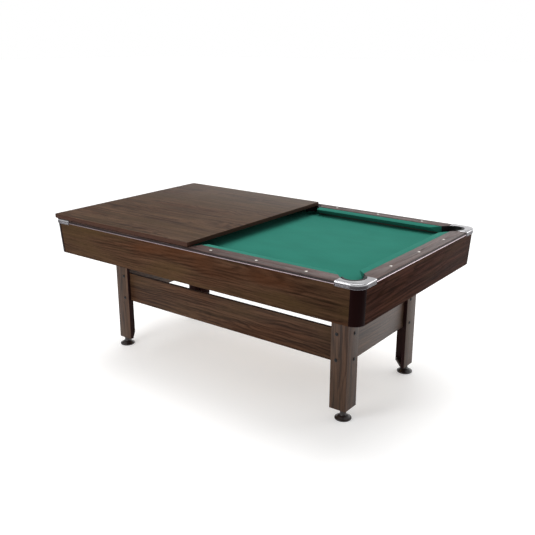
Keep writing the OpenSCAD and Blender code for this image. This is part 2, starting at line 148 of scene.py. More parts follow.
def degrees(label, about, value):
    """An angle, given in degrees, for a property group."""
    return bpy.props.FloatProperty(
        name=label, description=about, default=math.radians(value), subtype="ANGLE"
    )


def number(label, about, value):
    """A plain number for a property group."""
    return bpy.props.FloatProperty(name=label, description=about, default=value, min=0)


class PoolTableSizes(bpy.types.PropertyGroup):
    """Small shapes that the frame leaves plain."""

    arris: length("Arris", "Rounding of the boards' edges", 0.9 * MM, 0.1 * MM, 4 * MM)
    cover_arris: length("Cover arris", "Rounding of the cover panel's edges", 1.6 * MM, 0.2 * MM, 5 * MM)
    cloth_roll: length(
        "Cloth roll", "Radius over which the cloth turns down into a pocket", 4 * MM, 1 * MM, 8 * MM
    )
    cloth_tuck: length(
        "Cloth tuck", "Depth of the cloth's turned-down edge in a pocket", 15 * MM, 3 * MM, 22 * MM
    )
    feather_depth: length(
        "Feather groove", "Depth of the crease between cushion and rail", 2.6 * MM, 0, 5 * MM
    )
    jaw_round: length(
        "Jaw rounding", "Plan radius of a cushion's points at the pockets", 12 * MM, 2 * MM, 20 * MM
    )
    side_jaw_round: length("Side jaw rounding", "The same at the side pockets", 6 * MM, 2 * MM, 20 * MM)
    rib_pitch: length(
        "Rib pitch", "Distance between the ribs of a casting's skirt", 6 * MM, 3 * MM, 12 * MM
    )
    rib_radius: length("Rib radius", "Radius of a skirt rib", 1.5 * MM, 0.5 * MM, 3 * MM)
    casting_edge: length("Casting edge", "Rounding of a casting's outer top edge", 4.5 * MM, 1 * MM, 8 * MM)
    mouth_edge: length(
        "Casting mouth", "Rounding of a casting's edge over the pocket", 2.2 * MM, 0.5 * MM, 5 * MM
    )
    lip_width: length("Lip width", "How far a pocket liner's lip turns in", 14 * MM, 4 * MM, 16 * MM)
    lip_rise: length("Lip rise", "Height of a corner liner's lip above its collar", 5.7 * MM, 0, 6 * MM)
    side_lip_rise: length("Side lip rise", "The same at the side pockets", 2.3 * MM, 0, 6 * MM)
    thread_pitch: length(
        "Thread pitch", "Pitch of the levelling feet's threads", 1.5 * MM, 0.8 * MM, 3 * MM
    )
    socket: length("Hex socket", "Radius of the socket in a bolt head", 3.1 * MM, 1 * MM, 6 * MM)


class PoolTableColours(bpy.types.PropertyGroup):
    """Linear colours of the finishes."""

    walnut_dark: colour("Walnut, dark", "Pores of the laminate", (0.012, 0.0052, 0.0034))
    walnut_mid: colour("Walnut, middle", "Main colour of the laminate", (0.046, 0.0235, 0.0135))
    walnut_olive: colour("Walnut, olive", "Olive drifts in the laminate", (0.050, 0.029, 0.0125))
    walnut_red: colour("Walnut, red", "Reddish drifts in the laminate", (0.056, 0.0215, 0.0095))
    # The end aprons' colour is darkened again where the finishes are made: painted shade.
    walnut_end: colour("Walnut, ends", "Main colour of the end aprons", (0.044, 0.0185, 0.0135))
    rail_wood: colour("Rail wood", "Main colour of the top rails", (0.074, 0.044, 0.039))
    cover_wood: colour("Cover wood", "Main colour of the cover panel", (0.066, 0.036, 0.0205))
    # Partly the boards' own dark edges and backs, partly painted shade on the stretchers' tops and in the
    # slits under the aprons.
    board_edge: colour("Board edges", "Edges and backs of the laminate boards", (0.014, 0.0055, 0.0052))
    edge_band: colour("Edge band", "Edges of the cover panel", (0.034, 0.016, 0.011))
    cloth: colour("Cloth", "Playing cloth", (0.023, 0.168, 0.125))
    post: colour("Posts", "Moulded corner posts", (0.0062, 0.0011, 0.0010))
    foot: colour("Feet", "Levelling feet", (0.016, 0.010, 0.009))
    chrome: colour("Chrome", "Plates of the corner castings", (0.40, 0.395, 0.41))
    # The skirt's chrome is a darker copy of the plate's: painted shade for the darker reflections on the
    # skirt.
    skirt: colour("Skirt chrome", "Ribbed skirts of the corner castings", (0.25, 0.245, 0.26))
    # Painted shade in the castings' hollows: the groove under the plate and the skirt wall between the
    # ribs.
    casting_shade: colour("Tarnish", "Hollows of the castings", (0.045, 0.040, 0.044))
    trim: colour("Trim", "Metal strip round the aprons", (0.50, 0.40, 0.43))
    liner: colour("Liners", "Pocket liners", (0.010, 0.010, 0.011))
    sight: colour("Sights", "Inlaid sights", (0.74, 0.70, 0.64))
    steel: colour("Screws", "Plated screw heads", (0.62, 0.62, 0.63))
    bolt: colour("Bolts", "Black leg bolts", (0.010, 0.010, 0.011))
    board: colour("Fibreboard", "Raw underside of the bed", (0.42, 0.29, 0.17))
    pine: colour("Softwood", "Cross beams", (0.56, 0.38, 0.21))
    block: colour("Base blocks", "Painted blocks in the legs", (0.020, 0.011, 0.008))
    felt: colour("Felt", "Pads under the cover", (0.022, 0.020, 0.020))


class PoolTableStage(bpy.types.PropertyGroup):
    """Camera, light and floor."""

    eye: bpy.props.FloatVectorProperty(
        name="Eye", description="Camera position", default=(2.408, -3.122, 1.7935), size=3, unit="LENGTH"
    )
    yaw: degrees("Yaw", "Turn of the view to the left of +Y", 36.99)
    pitch: degrees("Pitch", "Tilt of the view below the horizon", 17.43)
    lens: number("Lens", "Focal length on a 36 mm sensor", 48.55)
    key_light: number("Key light", "Strength of the overhead light", 1.9)
    fill_light: number("Fill light", "Power of the softbox in front", 34)
    back_light: number("Back light", "Power of the low softbox at the right back", 70)
    floor: colour("Floor", "Pale floor", (0.74, 0.74, 0.74))


# ---------------------------------------------------------------- shader graphs


class Value:
    """A shader socket that can be used in sums; each sum adds its Math node."""

    def __init__(self, finish, socket):
        self.finish, self.socket = finish, socket

    def math(self, operation, *others):
        inputs = dict(enumerate((self, *others)))
        return self.finish.add("Math", {"operation": operation}, inputs).out()

    def __add__(self, other):
        return self.math("ADD", other)

    def __sub__(self, other):
        return self.math("SUBTRACT", other)

    def __mul__(self, other):
        return self.math("MULTIPLY", other)

    def __pow__(self, other):
        return self.math("POWER", other)

    def __rsub__(self, other):
        return (self * -1.0) + other

    __radd__ = __add__
    __rmul__ = __mul__

    def smooth(self, low, high):
        """0 below low, 1 above high, and a smooth step between."""
        inputs = {"Value": self, "From Min": low, "From Max": high}
        return self.finish.add("MapRange", {"interpolation_type": "SMOOTHSTEP"}, inputs).out()


class Node:
    """A shader node whose outputs come out as values."""

    def __init__(self, finish, node):
        self.finish, self.node = finish, node

    def out(self, which=0):
        return Value(self.finish, self.node.outputs[which])


class Finish:
    """The node graph of one material, with its shader's constants set on the shader itself."""

    def __init__(self, name, **constants):
        self.material = bpy.data.materials.new(name)
        self.material.use_nodes = True
        self.tree = self.material.node_tree
        self.shader = self.tree.nodes["Principled BSDF"]
        for socket, value in constants.items():
            self.shader.inputs[socket.replace("_", " ")].default_value = value
        self.place = self.add("TexCoord").out("Object")

    def add(self, kind, settings=None, inputs=None):
        """Adds a node by its type, sets its settings, then gives its sockets their values or links."""
        node = self.tree.nodes.new("ShaderNode" + kind)
        for key, value in (settings or {}).items():
            if key == "stops":
                elements = node.color_ramp.elements
                while len(elements) < len(value):
                    elements.new(0.5)
                for element, (position, tint) in zip(elements, value):
                    element.position = position
                    element.color = (*tint, 1)
            else:
                setattr(node, key, value)
        for key, value in (inputs or {}).items():
            self.feed(node.inputs[key], value)
        return Node(self, node)

    def feed(self, socket, value):
        """Links a value to a socket, or sets a number or colour on it."""
        if isinstance(value, Value):
            self.tree.links.new(value.socket, socket)
        elif socket.type == "RGBA" and len(value) == 3:
            socket.default_value = (*value, 1)
        else:
            socket.default_value = value

    def noise(self, place, scale, detail=2.0, roughness=0.5):
        inputs = {"Vector": place, "Scale": scale, "Detail": detail, "Roughness": roughness}
        return self.add("TexNoise", {"noise_dimensions": "3D"}, inputs).out()

    def stretch(self, place, x, y, z):
        """The place with each axis scaled, so that a pattern is drawn out along the small ones."""
        node = self.add("VectorMath", {"operation": "MULTIPLY"}, {0: place, 1: (x, y, z)})
        return node.out()

    def mix(self, share, first, second):
        """Mixes two colours by a share that is a value or a number."""
        node = self.add("Mix", {"data_type": "RGBA"}, {0: share, 6: first, 7: second})
        return node.out(2)

    def ramp(self, value, stops):
        return self.add("ValToRGB", {"stops": stops}, {0: value}).out()

    def bump(self, height, strength, distance):
        inputs = {"Height": height, "Strength": strength, "Distance": distance}
        self.give("Normal", self.add("Bump", None, inputs).out())

    def give(self, socket, value):
        self.feed(self.shader.inputs[socket], value)


FINISHES = {}
FINISH_MAKERS = {}


def finish(name):
    """The material of that name, made once."""
    if name not in FINISHES:
        maker, *words = FINISH_MAKERS[name]
        FINISHES[name] = maker(name, *words)
    return FINISHES[name]


def tones():
    return bpy.context.scene.pool_table_colours


def shade(base, factor):
    """A colour made lighter or darker."""
    return tuple(min(1.0, c * factor) for c in base)


def walnut_laminate(name, along, base, contrast, gloss, rough, drifts):
    """Satin walnut laminate with its grain along X, Y or Z.

    It has a flat-sawn figure, streaks and bands, drifts of colour and fine pores.
    """
    tone = tones()
    laminate = Finish(name, Specular_IOR_Level=gloss)
    axes = laminate.add("SeparateXYZ", None, {0: laminate.place})
    order = {"X": (0, 1, 2), "Y": (1, 0, 2), "Z": (2, 0, 1)}[along]
    run, side, rise = (axes.out(i) for i in order)
    place = laminate.add("CombineXYZ", None, {0: run, 1: side, 2: rise}).out()

    drift = laminate.noise(laminate.stretch(place, 1.3, 6.0, 6.0), 1.0, 3.0) - 0.5
    waver = laminate.noise(laminate.stretch(place, 6.0, 40.0, 40.0), 1.0, 2.0) - 0.5
    across = (side + drift * 0.16).math("PINGPONG", 0.15)
    upward = (rise + drift * 0.13 + 0.025).math("PINGPONG", 0.135)
    taper = (run * 0.05 + drift * 0.10 + 0.31).math("PINGPONG", 0.12)
    distance = (across * across * 0.5 + upward * upward + taper * taper).math("SQRT")
    rings = (distance * 520.0 + waver * 6.0).math("SINE") * 0.5 + 0.5
    streaks = laminate.noise(laminate.stretch(place, 2.6, 100.0, 100.0), 1.0, 4.0, 0.6)
    fibre = laminate.noise(laminate.stretch(place, 9.0, 340.0, 340.0), 1.0, 3.0, 0.6)
    pores = laminate.noise(laminate.stretch(place, 30.0, 950.0, 950.0), 1.0, 1.0).smooth(0.60, 0.70)
    patch = laminate.noise(laminate.stretch(place, 1.9, 9.0, 9.0), 1.0, 2.0)
    bands = laminate.noise(laminate.stretch(place, 1.7, 34.0, 34.0), 1.0, 2.0) - 0.5

    lines = rings**2.0 * (patch.smooth(0.40, 0.60) * 0.16 + 0.06)
    figure = streaks * 0.80 + fibre * 0.56 + bands * 0.45 - lines - 0.125
    body = laminate.ramp(figure, [(0.30, shade(base, 0.32)), (0.50, base), (0.74, shade(base, contrast))])
    redder = laminate.mix(patch.smooth(0.44, 0.74) * drifts, body, tone.walnut_red)
    greener = laminate.mix((1 - patch).smooth(0.46, 0.74) * drifts, redder, tone.walnut_olive)
    laminate.give("Base Color", laminate.mix(pores * 0.6, greener, tone.walnut_dark))
    laminate.give("Roughness", fibre * 0.14 + pores * 0.10 + rough)
    laminate.bump(fibre * 0.5 - pores * 0.8, 0.14, 0.0004)
    return laminate.material


def board_edge(name, base, rough, gloss):
    """Thin plastic edge band or painted block, with a faint brushed grain along its length."""
    band = Finish(name, Specular_IOR_Level=gloss)
    streak = band.noise(band.stretch(band.place, 30.0, 30.0, 240.0), 1.0, 3.0)
    speck = band.noise(band.place, 900.0, 1.0)
    band.give("Base Color", band.mix(streak.smooth(0.3, 0.7) * 0.5, base, shade(base, 1.7)))
    band.give("Roughness", speck * 0.2 + rough)
    band.bump(speck + streak, 0.12, 0.0003)
    return band.material


def playing_cloth(name, lift):
    """Napped green playing cloth: a fine felted surface over a faint weave, with slow drifts of tone."""
    base = tones().cloth
    sheen = {"Sheen_Weight": 0.08, "Sheen_Roughness": 0.45, "Sheen_Tint": (0.30, 0.90, 0.75, 1)}
    cloth = Finish(name, Specular_IOR_Level=0.05, **sheen)
    nap = cloth.noise(cloth.place, 1400.0, 2.0, 0.7)
    flecks = cloth.noise(cloth.stretch(cloth.place, 620.0, 950.0, 800.0), 1.0, 2.0, 0.6)
    axes = cloth.add("SeparateXYZ", None, {0: cloth.place})
    weave_x, weave_y = ((axes.out(i) * 5200.0).math("SINE") for i in (0, 1))
    drifts = cloth.noise(cloth.stretch(cloth.place, 5.0, 9.0, 5.0), 1.0, 3.0)
    # lift scales the cloth's whole tone; below 1 it paints shade.
    tone = cloth.ramp(
        flecks * 0.30 + drifts * 0.50 + 0.10,
        [(0.30, shade(base, 0.86 * lift)), (0.50, shade(base, lift)), (0.72, shade(base, 1.13 * lift))],
    )
    cloth.give("Base Color", tone)
    cloth.give("Roughness", nap * 0.12 + 0.84)
    cloth.bump(nap * 0.7 + flecks * 0.5 + weave_x * weave_y * 0.12, 0.30, 0.0004)
    return cloth.material


def moulded_plastic(name, base, rough, gloss, coat):
    """Moulded plastic with a faint orange-peel surface and light handling scuffs."""
    plastic = Finish(name, Specular_IOR_Level=gloss, Coat_Roughness=0.12)
    peel = plastic.noise(plastic.place, 260.0, 2.0)
    scratches = plastic.stretch(plastic.place, 40.0, 40.0, 12.0)
    scuff = plastic.noise(scratches, 1.0, 4.0, 0.7).smooth(0.52, 0.75)
    plastic.give("Base Color", plastic.mix(scuff * 0.35, base, shade(base, 2.2)))
    plastic.give("Roughness", scuff * 0.10 + peel * 0.06 + rough)
    plastic.give("Coat Weight", scuff * -0.3 * coat + coat)
    plastic.bump(peel, 0.10, 0.0005)
    return plastic.material


def bright_metal(name, base, rough, streaks):
    """Chromed or bright metal with faint polishing lines and a few dull smears."""
    metal = Finish(name, Metallic=1.0)
    smear = metal.noise(metal.place, 26.0, 3.0, 0.6).smooth(0.40, 0.72)
    lines = metal.noise(metal.stretch(metal.place, *streaks), 1.0, 2.0)
    pits = metal.noise(metal.place, 480.0, 1.0)
    metal.give("Base Color", metal.mix(smear * 0.5, base, shade(base, 0.86)))
    metal.give("Roughness", smear * 0.07 + lines * 0.08 + rough)
    metal.bump(lines * 0.6 + pits * 0.5, 0.06, 0.0003)
    return metal.material


def blacked_steel(name, base, rough):
    """Black oxide on steel with worn, slightly brighter patches."""
    steel = Finish(name, Specular_IOR_Level=0.2)
    worn = steel.noise(steel.place, 420.0, 3.0).smooth(0.48, 0.72)
    steel.give("Base Color", steel.mix(worn * 0.6, base, shade(base, 3.0)))
    steel.give("Metallic", worn * 0.3)
    steel.give("Roughness", worn * -0.15 + rough)
    steel.bump(worn, 0.10, 0.0003)
    return steel.material


def pearl_inlay(name, base):
    """Moulded pearl: milky, with soft cloudy bands."""
    pearl = Finish(name, Specular_IOR_Level=0.5, Coat_Weight=0.6, Coat_Roughness=0.08)
    cloud = pearl.noise(pearl.stretch(pearl.place, 160.0, 90.0, 160.0), 1.0, 3.0, 0.6)
    stops = [(0.3, shade(base, 0.78)), (0.5, base), (0.7, shade(base, 1.2))]
    pearl.give("Base Color", pearl.ramp(cloud, stops))
    pearl.give("Roughness", cloud * 0.15 + 0.18)
    pearl.bump(cloud, 0.05, 0.0003)
    return pearl.material


def fibreboard(name, base):
    """Raw fibreboard: tan with short pressed fibres and darker specks."""
    board = Finish(name, Specular_IOR_Level=0.2)
    fibres = board.noise(board.stretch(board.place, 300.0, 420.0, 360.0), 1.0, 4.0, 0.7)
    cloud = board.noise(board.place, 9.0, 3.0)
    specks = board.noise(board.place, 700.0, 1.0).smooth(0.66, 0.74)
    stops = [(0.3, shade(base, 0.75)), (0.5, base), (0.7, shade(base, 1.22))]
    body = board.ramp(fibres * 0.6 + cloud * 0.4, stops)
    board.give("Base Color", board.mix(specks * 0.6, body, shade(base, 0.4)))
    board.give("Roughness", fibres * 0.1 + 0.8)
    board.bump(fibres, 0.25, 0.0005)
    return board.material


def softwood(name, base):
    """Planed softwood with yellow early wood and darker late wood along Y."""
    wood = Finish(name, Specular_IOR_Level=0.3)
    place = wood.stretch(wood.place, 60.0, 1.6, 60.0)
    warp = wood.noise(place, 0.5, 2.0) - 0.5
    axes = wood.add("SeparateXYZ", None, {0: wood.place})
    rings = ((axes.out(0) * 420.0 + axes.out(2) * 160.0 + warp * 14.0).math("SINE") * 0.5 + 0.5) ** 2.0
    fibre = wood.noise(wood.stretch(wood.place, 500.0, 12.0, 500.0), 1.0, 2.0)
    body = wood.mix(rings * 0.7, base, shade(base, 0.52))
    wood.give("Base Color", wood.mix(fibre.smooth(0.4, 0.7) * 0.3, body, shade(base, 0.75)))
    wood.give("Roughness", fibre * 0.2 + 0.5)
    wood.bump(fibre + rings * 0.4, 0.2, 0.0005)
    return wood.material


def wool_felt(name, base):
    """Pressed felt: matted fibres with lint."""
    felt = Finish(name, Specular_IOR_Level=0.1, Sheen_Weight=0.4)
    mat = felt.noise(felt.place, 1100.0, 3.0, 0.75)
    lint = felt.noise(felt.place, 360.0, 2.0).smooth(0.6, 0.72)
    felt.give("Base Color", felt.mix(lint * 0.5, base, shade(base, 3.0)))
    felt.give("Roughness", mat * 0.08 + 0.9)
    felt.bump(mat, 0.5, 0.0006)
    return felt.material


def pale_floor(name, base):
    """Matt studio floor, lit a little from below, with the faintest unevenness."""
    floor = Finish(name, Specular_IOR_Level=0.1, Emission_Color=(1, 1, 1, 1), Emission_Strength=0.36)
    cloud = floor.noise(floor.place, 1.2, 2.0)
    floor.give("Base Color", floor.mix(cloud * 0.3, base, shade(base, 0.985)))
    floor.give("Roughness", cloud * 0.1 + 0.85)
    return floor.material


def prepare_finishes():
    """Says how each finish is made, from the colours as they are set now."""
    tone = tones()
    deep, wood, top = tuple(tone.walnut_mid), tuple(tone.rail_wood), tuple(tone.cover_wood)
    reddish = tuple(tone.walnut_end)
    FINISHES.clear()
    FINISH_MAKERS.update(
        # The aprons take darker copies of the walnut than the stretchers and legs, the end aprons darkest:
        # painted shade.
        apron_x=(walnut_laminate, "X", shade(deep, 0.84), 1.9, 0.008, 0.38, 0.80),
        apron_y=(walnut_laminate, "Y", shade(reddish, 0.68), 1.9, 0.005, 0.38, 0.40),
        walnut_x=(walnut_laminate, "X", deep, 1.9, 0.05, 0.36, 0.5),
        walnut_y=(walnut_laminate, "Y", deep, 1.9, 0.42, 0.34, 0.3),
        walnut_z=(walnut_laminate, "Z", deep, 1.8, 0.18, 0.34, 0.3),
        rail_x=(walnut_laminate, "X", wood, 1.6, 0.18, 0.34, 0.15),
        rail_y=(walnut_laminate, "Y", wood, 1.6, 0.24, 0.34, 0.15),
        cover_top=(walnut_laminate, "X", top, 1.9, 0.06, 0.32, 0.6),
        cover_edge=(board_edge, tuple(tone.edge_band), 0.40, 0.04),
        # The boards' dark edge finish is partly their own edge band and partly painted shade.
        board_dark=(board_edge, tuple(tone.board_edge), 0.46, 0.04),
        bed_green=(playing_cloth, 1.0),
        cushion_green=(playing_cloth, 1.0),
        # The cushions' undercut faces get the cloth at a third of its brightness: painted shade under the
        # noses.
        cushion_face=(playing_cloth, 0.34),
        corner_brown=(moulded_plastic, tuple(tone.post), 0.26, 0.022, 0.0),
        foot_brown=(moulded_plastic, tuple(tone.foot), 0.28, 0.45, 0.2),
        pocket_black=(moulded_plastic, tuple(tone.liner), 0.50, 0.2, 0.0),
        # The dark finish on the trims' upper bead is painted shade.
        trim_dark=(moulded_plastic, tuple(tone.post), 0.40, 0.2, 0.0),
        casting_chrome=(bright_metal, tuple(tone.chrome), 0.15, (60.0, 60.0, 300.0)),
        # The skirts take the darker copy of the chrome: painted shade.
        casting_skirt=(bright_metal, tuple(tone.skirt), 0.12, (60.0, 60.0, 300.0)),
        # The dark finish in the castings' hollows is painted shade.
        casting_hollow=(bright_metal, tuple(tone.casting_shade), 0.34, (60.0, 60.0, 300.0)),
        trim_bright=(bright_metal, tuple(tone.trim), 0.24, (8.0, 8.0, 90.0)),
        # The near and far strips take the trim metal at half brightness: painted shade against the lit end
        # strips.
        trim_satin=(bright_metal, shade(tone.trim, 0.5), 0.40, (8.0, 8.0, 90.0)),
        screw_steel=(bright_metal, tuple(tone.steel), 0.26, (200.0, 200.0, 200.0)),
        bolt_black=(blacked_steel, tuple(tone.bolt), 0.46),
        sight_pearl=(pearl_inlay, tuple(tone.sight)),
        bed_fibreboard=(fibreboard, tuple(tone.board)),
        beam_pine=(softwood, tuple(tone.pine)),
        block_dark=(board_edge, tuple(tone.block), 0.45, 0.08),
        pad_felt=(wool_felt, tuple(tone.felt)),
        floor_pale=(pale_floor, tuple(bpy.context.scene.pool_table_stage.floor)),
    )


# ---------------------------------------------------------------- modelling helpers


def pick(*pieces):
    """Selects these objects alone; the first is the active one."""
    bpy.ops.object.select_all(action="DESELECT")
    for piece in pieces:
        piece.select_set(True)
    bpy.context.view_layer.objects.active = pieces[0]


@contextmanager
def shaping(piece):
    """Edit mode on one object, with everything in it selected at the start."""
    pick(piece)
    bpy.ops.object.mode_set(mode="EDIT")
    bpy.ops.mesh.select_all(action="SELECT")
    yield
    bpy.ops.object.mode_set(mode="OBJECT")


def choose(piece, kind, test):
    """In edit mode, selects only the faces, edges or vertices that pass a test."""
    bpy.ops.mesh.select_mode(type=kind)
    bpy.ops.mesh.select_all(action="DESELECT")
    mesh = bmesh.from_edit_mesh(piece.data)
    for item in {"VERT": mesh.verts, "EDGE": mesh.edges, "FACE": mesh.faces}[kind]:
        item.select_set(bool(test(item)))
    bmesh.update_edit_mesh(piece.data)


def middle(edge):
    return (edge.verts[0].co + edge.verts[1].co) / 2


def settle(piece, matrix=None):
    """Puts an object's place into its mesh, so that the object itself sits at the origin."""
    if matrix is not None:
        piece.matrix_world = matrix @ piece.matrix_world
    pick(piece)
    bpy.ops.object.transform_apply(location=True, rotation=True, scale=True)


def tidy(piece, merge=0.01 * MM):
    """Merges doubled vertices and turns all faces outwards."""
    with shaping(piece):
        bpy.ops.mesh.remove_doubles(threshold=merge)
        bpy.ops.mesh.delete_loose(use_verts=True, use_edges=True)
        bpy.ops.mesh.select_all(action="SELECT")
        bpy.ops.mesh.normals_make_consistent(inside=False)


def apply_modifier(piece, kind, **settings):
    """Adds a modifier, sets it and applies it."""
    modifier = piece.modifiers.new(kind.title(), kind)
    for key, value in settings.items():
        setattr(modifier, key, value)
    pick(piece)
    bpy.ops.object.modifier_apply(modifier=modifier.name)


def soften(piece, width, segments=2, angle=30):
    """Rounds every edge that is sharper than the angle."""
    apply_modifier(
        piece,
        "BEVEL",
        width=width,
        segments=segments,
        limit_method="ANGLE",
        angle_limit=math.radians(angle),
        use_clamp_overlap=True,
        miter_outer="MITER_ARC",
    )


def carve(piece, cutter):
    """Cuts one closed shape out of another and removes the cutter."""
    apply_modifier(piece, "BOOLEAN", operation="DIFFERENCE", solver="EXACT", object=cutter)
    bpy.data.objects.remove(cutter)


def join(name, pieces):
    """Joins objects into one of that name."""
    pick(*pieces)
    bpy.ops.object.join()
    pieces[0].name = pieces[0].data.name = name
    return pieces[0]


def copied(piece, matrix):
    """A copy with its own mesh, moved by a matrix."""
    twin = piece.copy()
    twin.data = piece.data.copy()
    bpy.context.collection.objects.link(twin)
    settle(twin, matrix)
    if matrix.determinant() < 0:
        tidy(twin)
    return twin


def finished(piece, node, material=None, angle=32, body="table"):
    """Names a piece after its node, smooths it and hangs it on its body.

    A piece that is painted already needs no material.
    """
    piece.name = piece.data.name = node + "_piece"
    pick(piece)
    bpy.ops.object.shade_smooth_by_angle(angle=math.radians(angle))
    if material:
        piece.data.materials.clear()
        piece.data.materials.append(finish(material))
    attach(piece, body)
    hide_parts(node)
    return piece


def paint(piece, first, second, test):
    """Gives a piece two finishes: the second on the faces that pass the test, the first on the others."""
    piece.data.materials.clear()
    for name in (first, second):
        piece.data.materials.append(finish(name))
    for face in piece.data.polygons:
        face.material_index = int(test(face))


def block(low, high):
    """Closed rectangular block between two corners."""
    low, high = Vector(low), Vector(high)
    bpy.ops.mesh.primitive_cube_add(size=1, location=(low + high) / 2)
    piece = bpy.context.object
    piece.scale = high - low
    settle(piece)
    return piece


def rod(radius, low, high, centre=(0, 0), sides=32):
    """Upright closed cylinder from height low to height high."""
    bpy.ops.mesh.primitive_cylinder_add(
        vertices=sides, radius=radius, depth=high - low, location=(*centre, (low + high) / 2)
    )
    piece = bpy.context.object
    settle(piece)
    return piece


def outline_ring(outline):
    """Closed ring of edges in the XZ plane, from a circle whose vertices are moved onto an outline."""
    bpy.ops.mesh.primitive_circle_add(vertices=len(outline), fill_type="NOTHING")
    piece = bpy.context.object
    for vertex, (x, z) in zip(piece.data.vertices, outline):
        vertex.co = (x, 0, z)
    return piece


def turned(outline, steps=72):
    """Solid of revolution about Z from a closed outline of (radius, height)."""
    piece = outline_ring(outline)
    apply_modifier(piece, "SCREW", angle=math.tau, axis="Z", steps=steps, render_steps=steps)
    tidy(piece)
    return piece


def bar(outline, start, end):
    """Bar along X whose section is an outline of (y, z): a filled ring that is extruded."""
    bpy.ops.mesh.primitive_circle_add(vertices=len(outline), fill_type="NGON")
    piece = bpy.context.object
    for vertex, (y, z) in zip(piece.data.vertices, outline):
        vertex.co = (start, y, z)
    with shaping(piece):
        bpy.ops.mesh.extrude_region_move(TRANSFORM_OT_translate={"value": (end - start, 0, 0)})
        bpy.ops.mesh.select_all(action="SELECT")
        bpy.ops.mesh.normals_make_consistent(inside=False)
    return piece


def cut_off(piece, point, outward):
    """Cuts away what lies beyond a plane, on the side that outward points to, and closes the cut."""
    with shaping(piece):
        bpy.ops.mesh.bisect(plane_co=point, plane_no=outward, use_fill=True, clear_outer=True)


def merged_copy(node):
    """Copy of a frame node's mesh with its triangles merged into whole faces."""
    source = frame["nodes"][node]
    piece = bpy.data.objects.new(node + "_copy", source.data.copy())
    bpy.context.collection.objects.link(piece)
    pick(piece)
    bpy.ops.mesh.customdata_custom_splitnormals_clear()
    with shaping(piece):
        bpy.ops.mesh.remove_doubles(threshold=0.005 * MM)
        bpy.ops.mesh.dissolve_limited(angle_limit=math.radians(0.6))
    return piece


def solids_of(node):
    """The boxes of a node's separate solids, as (lowest corner, highest corner)."""
    piece = merged_copy(node)
    with shaping(piece):
        bpy.ops.mesh.separate(type="LOOSE")
    boxes = []
    for part in list(bpy.context.selected_objects):
        corners = [Vector(v.co) for v in part.data.vertices]
        boxes.append(
            tuple(Vector(pick_one(c[i] for c in corners) for i in range(3)) for pick_one in (min, max))
        )
        bpy.data.objects.remove(part)
    return sorted(boxes, key=lambda box: tuple(round(v, 4) for v in box[0]))


def side_matrix(side):
    """From a side's own frame, x along it and y inward from its outer face, to the table's."""
    near = Matrix.Translation((0, -HALF_WIDTH, 0))
    right = Matrix.Translation((HALF_LENGTH, 0, 0)) @ Matrix.Rotation(math.pi / 2, 4, "Z")
    half_turn = Matrix.Rotation(math.pi, 4, "Z")
    return {"near": near, "far": half_turn @ near, "right": right, "left": half_turn @ right}[side]


def signs(quarter):
    return (1 if quarter.endswith("right") else -1, 1 if quarter.startswith("far") else -1)


def quarter_matrix(quarter, x, y):
    """From a frame at (-x, -y) whose axes point inward, to the same corner of another quarter."""
    sx, sy = signs(quarter)
    return Matrix.Diagonal((-sx, -sy, 1, 1)) @ Matrix.Translation((-x, -y, 0))


def pockets():
    """Each pocket's liner node with its centre, hole radius and outward angle."""
    found = {}
    for quarter in QUARTERS:
        sx, sy = signs(quarter)
        found["liner_" + quarter] = math.atan2(sy, sx)
    found["liner_near_side"] = -math.pi / 2
    found["liner_far_side"] = math.pi / 2
    for node, angle in found.items():
        low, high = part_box(node)
        centre = (low + high) / 2
        found[node] = (Vector((centre.x, centre.y)), (high.x - low.x) / 2 - LINER_RIM, angle)
    return found


def circle_arc(centre, radius, start, end, count):
    """Points on an arc, from one angle in degrees to another."""
    angles = [math.radians(start + (end - start) * i / (count - 1)) for i in range(count)]
    return [(centre[0] + radius * math.cos(a), centre[1] + radius * math.sin(a)) for a in angles]


# ---------------------------------------------------------------- operators


class PieceOperator:
    """What the operators that build pieces share."""

    bl_options = {"REGISTER", "UNDO"}

    def execute(self, context):
        self.build(context.scene.pool_table_sizes)
        return {"FINISHED"}


class POOLTABLE_OT_bed(PieceOperator, bpy.types.Operator):
    """Fibreboard bed and the two cross beams under it"""

    bl_idname = "pool_table.bed"
    bl_label = "Bed board and beams"

    def build(self, sizes):
        board = merged_copy("bed_board")
        soften(board, 0.6 * MM, 1)
        finished(board, "bed_board", "bed_fibreboard")
        for end in ("left", "right"):
            beam = merged_copy("beam_" + end)
            soften(beam, 2 * MM, 3)
            finished(beam, "beam_" + end, "beam_pine")


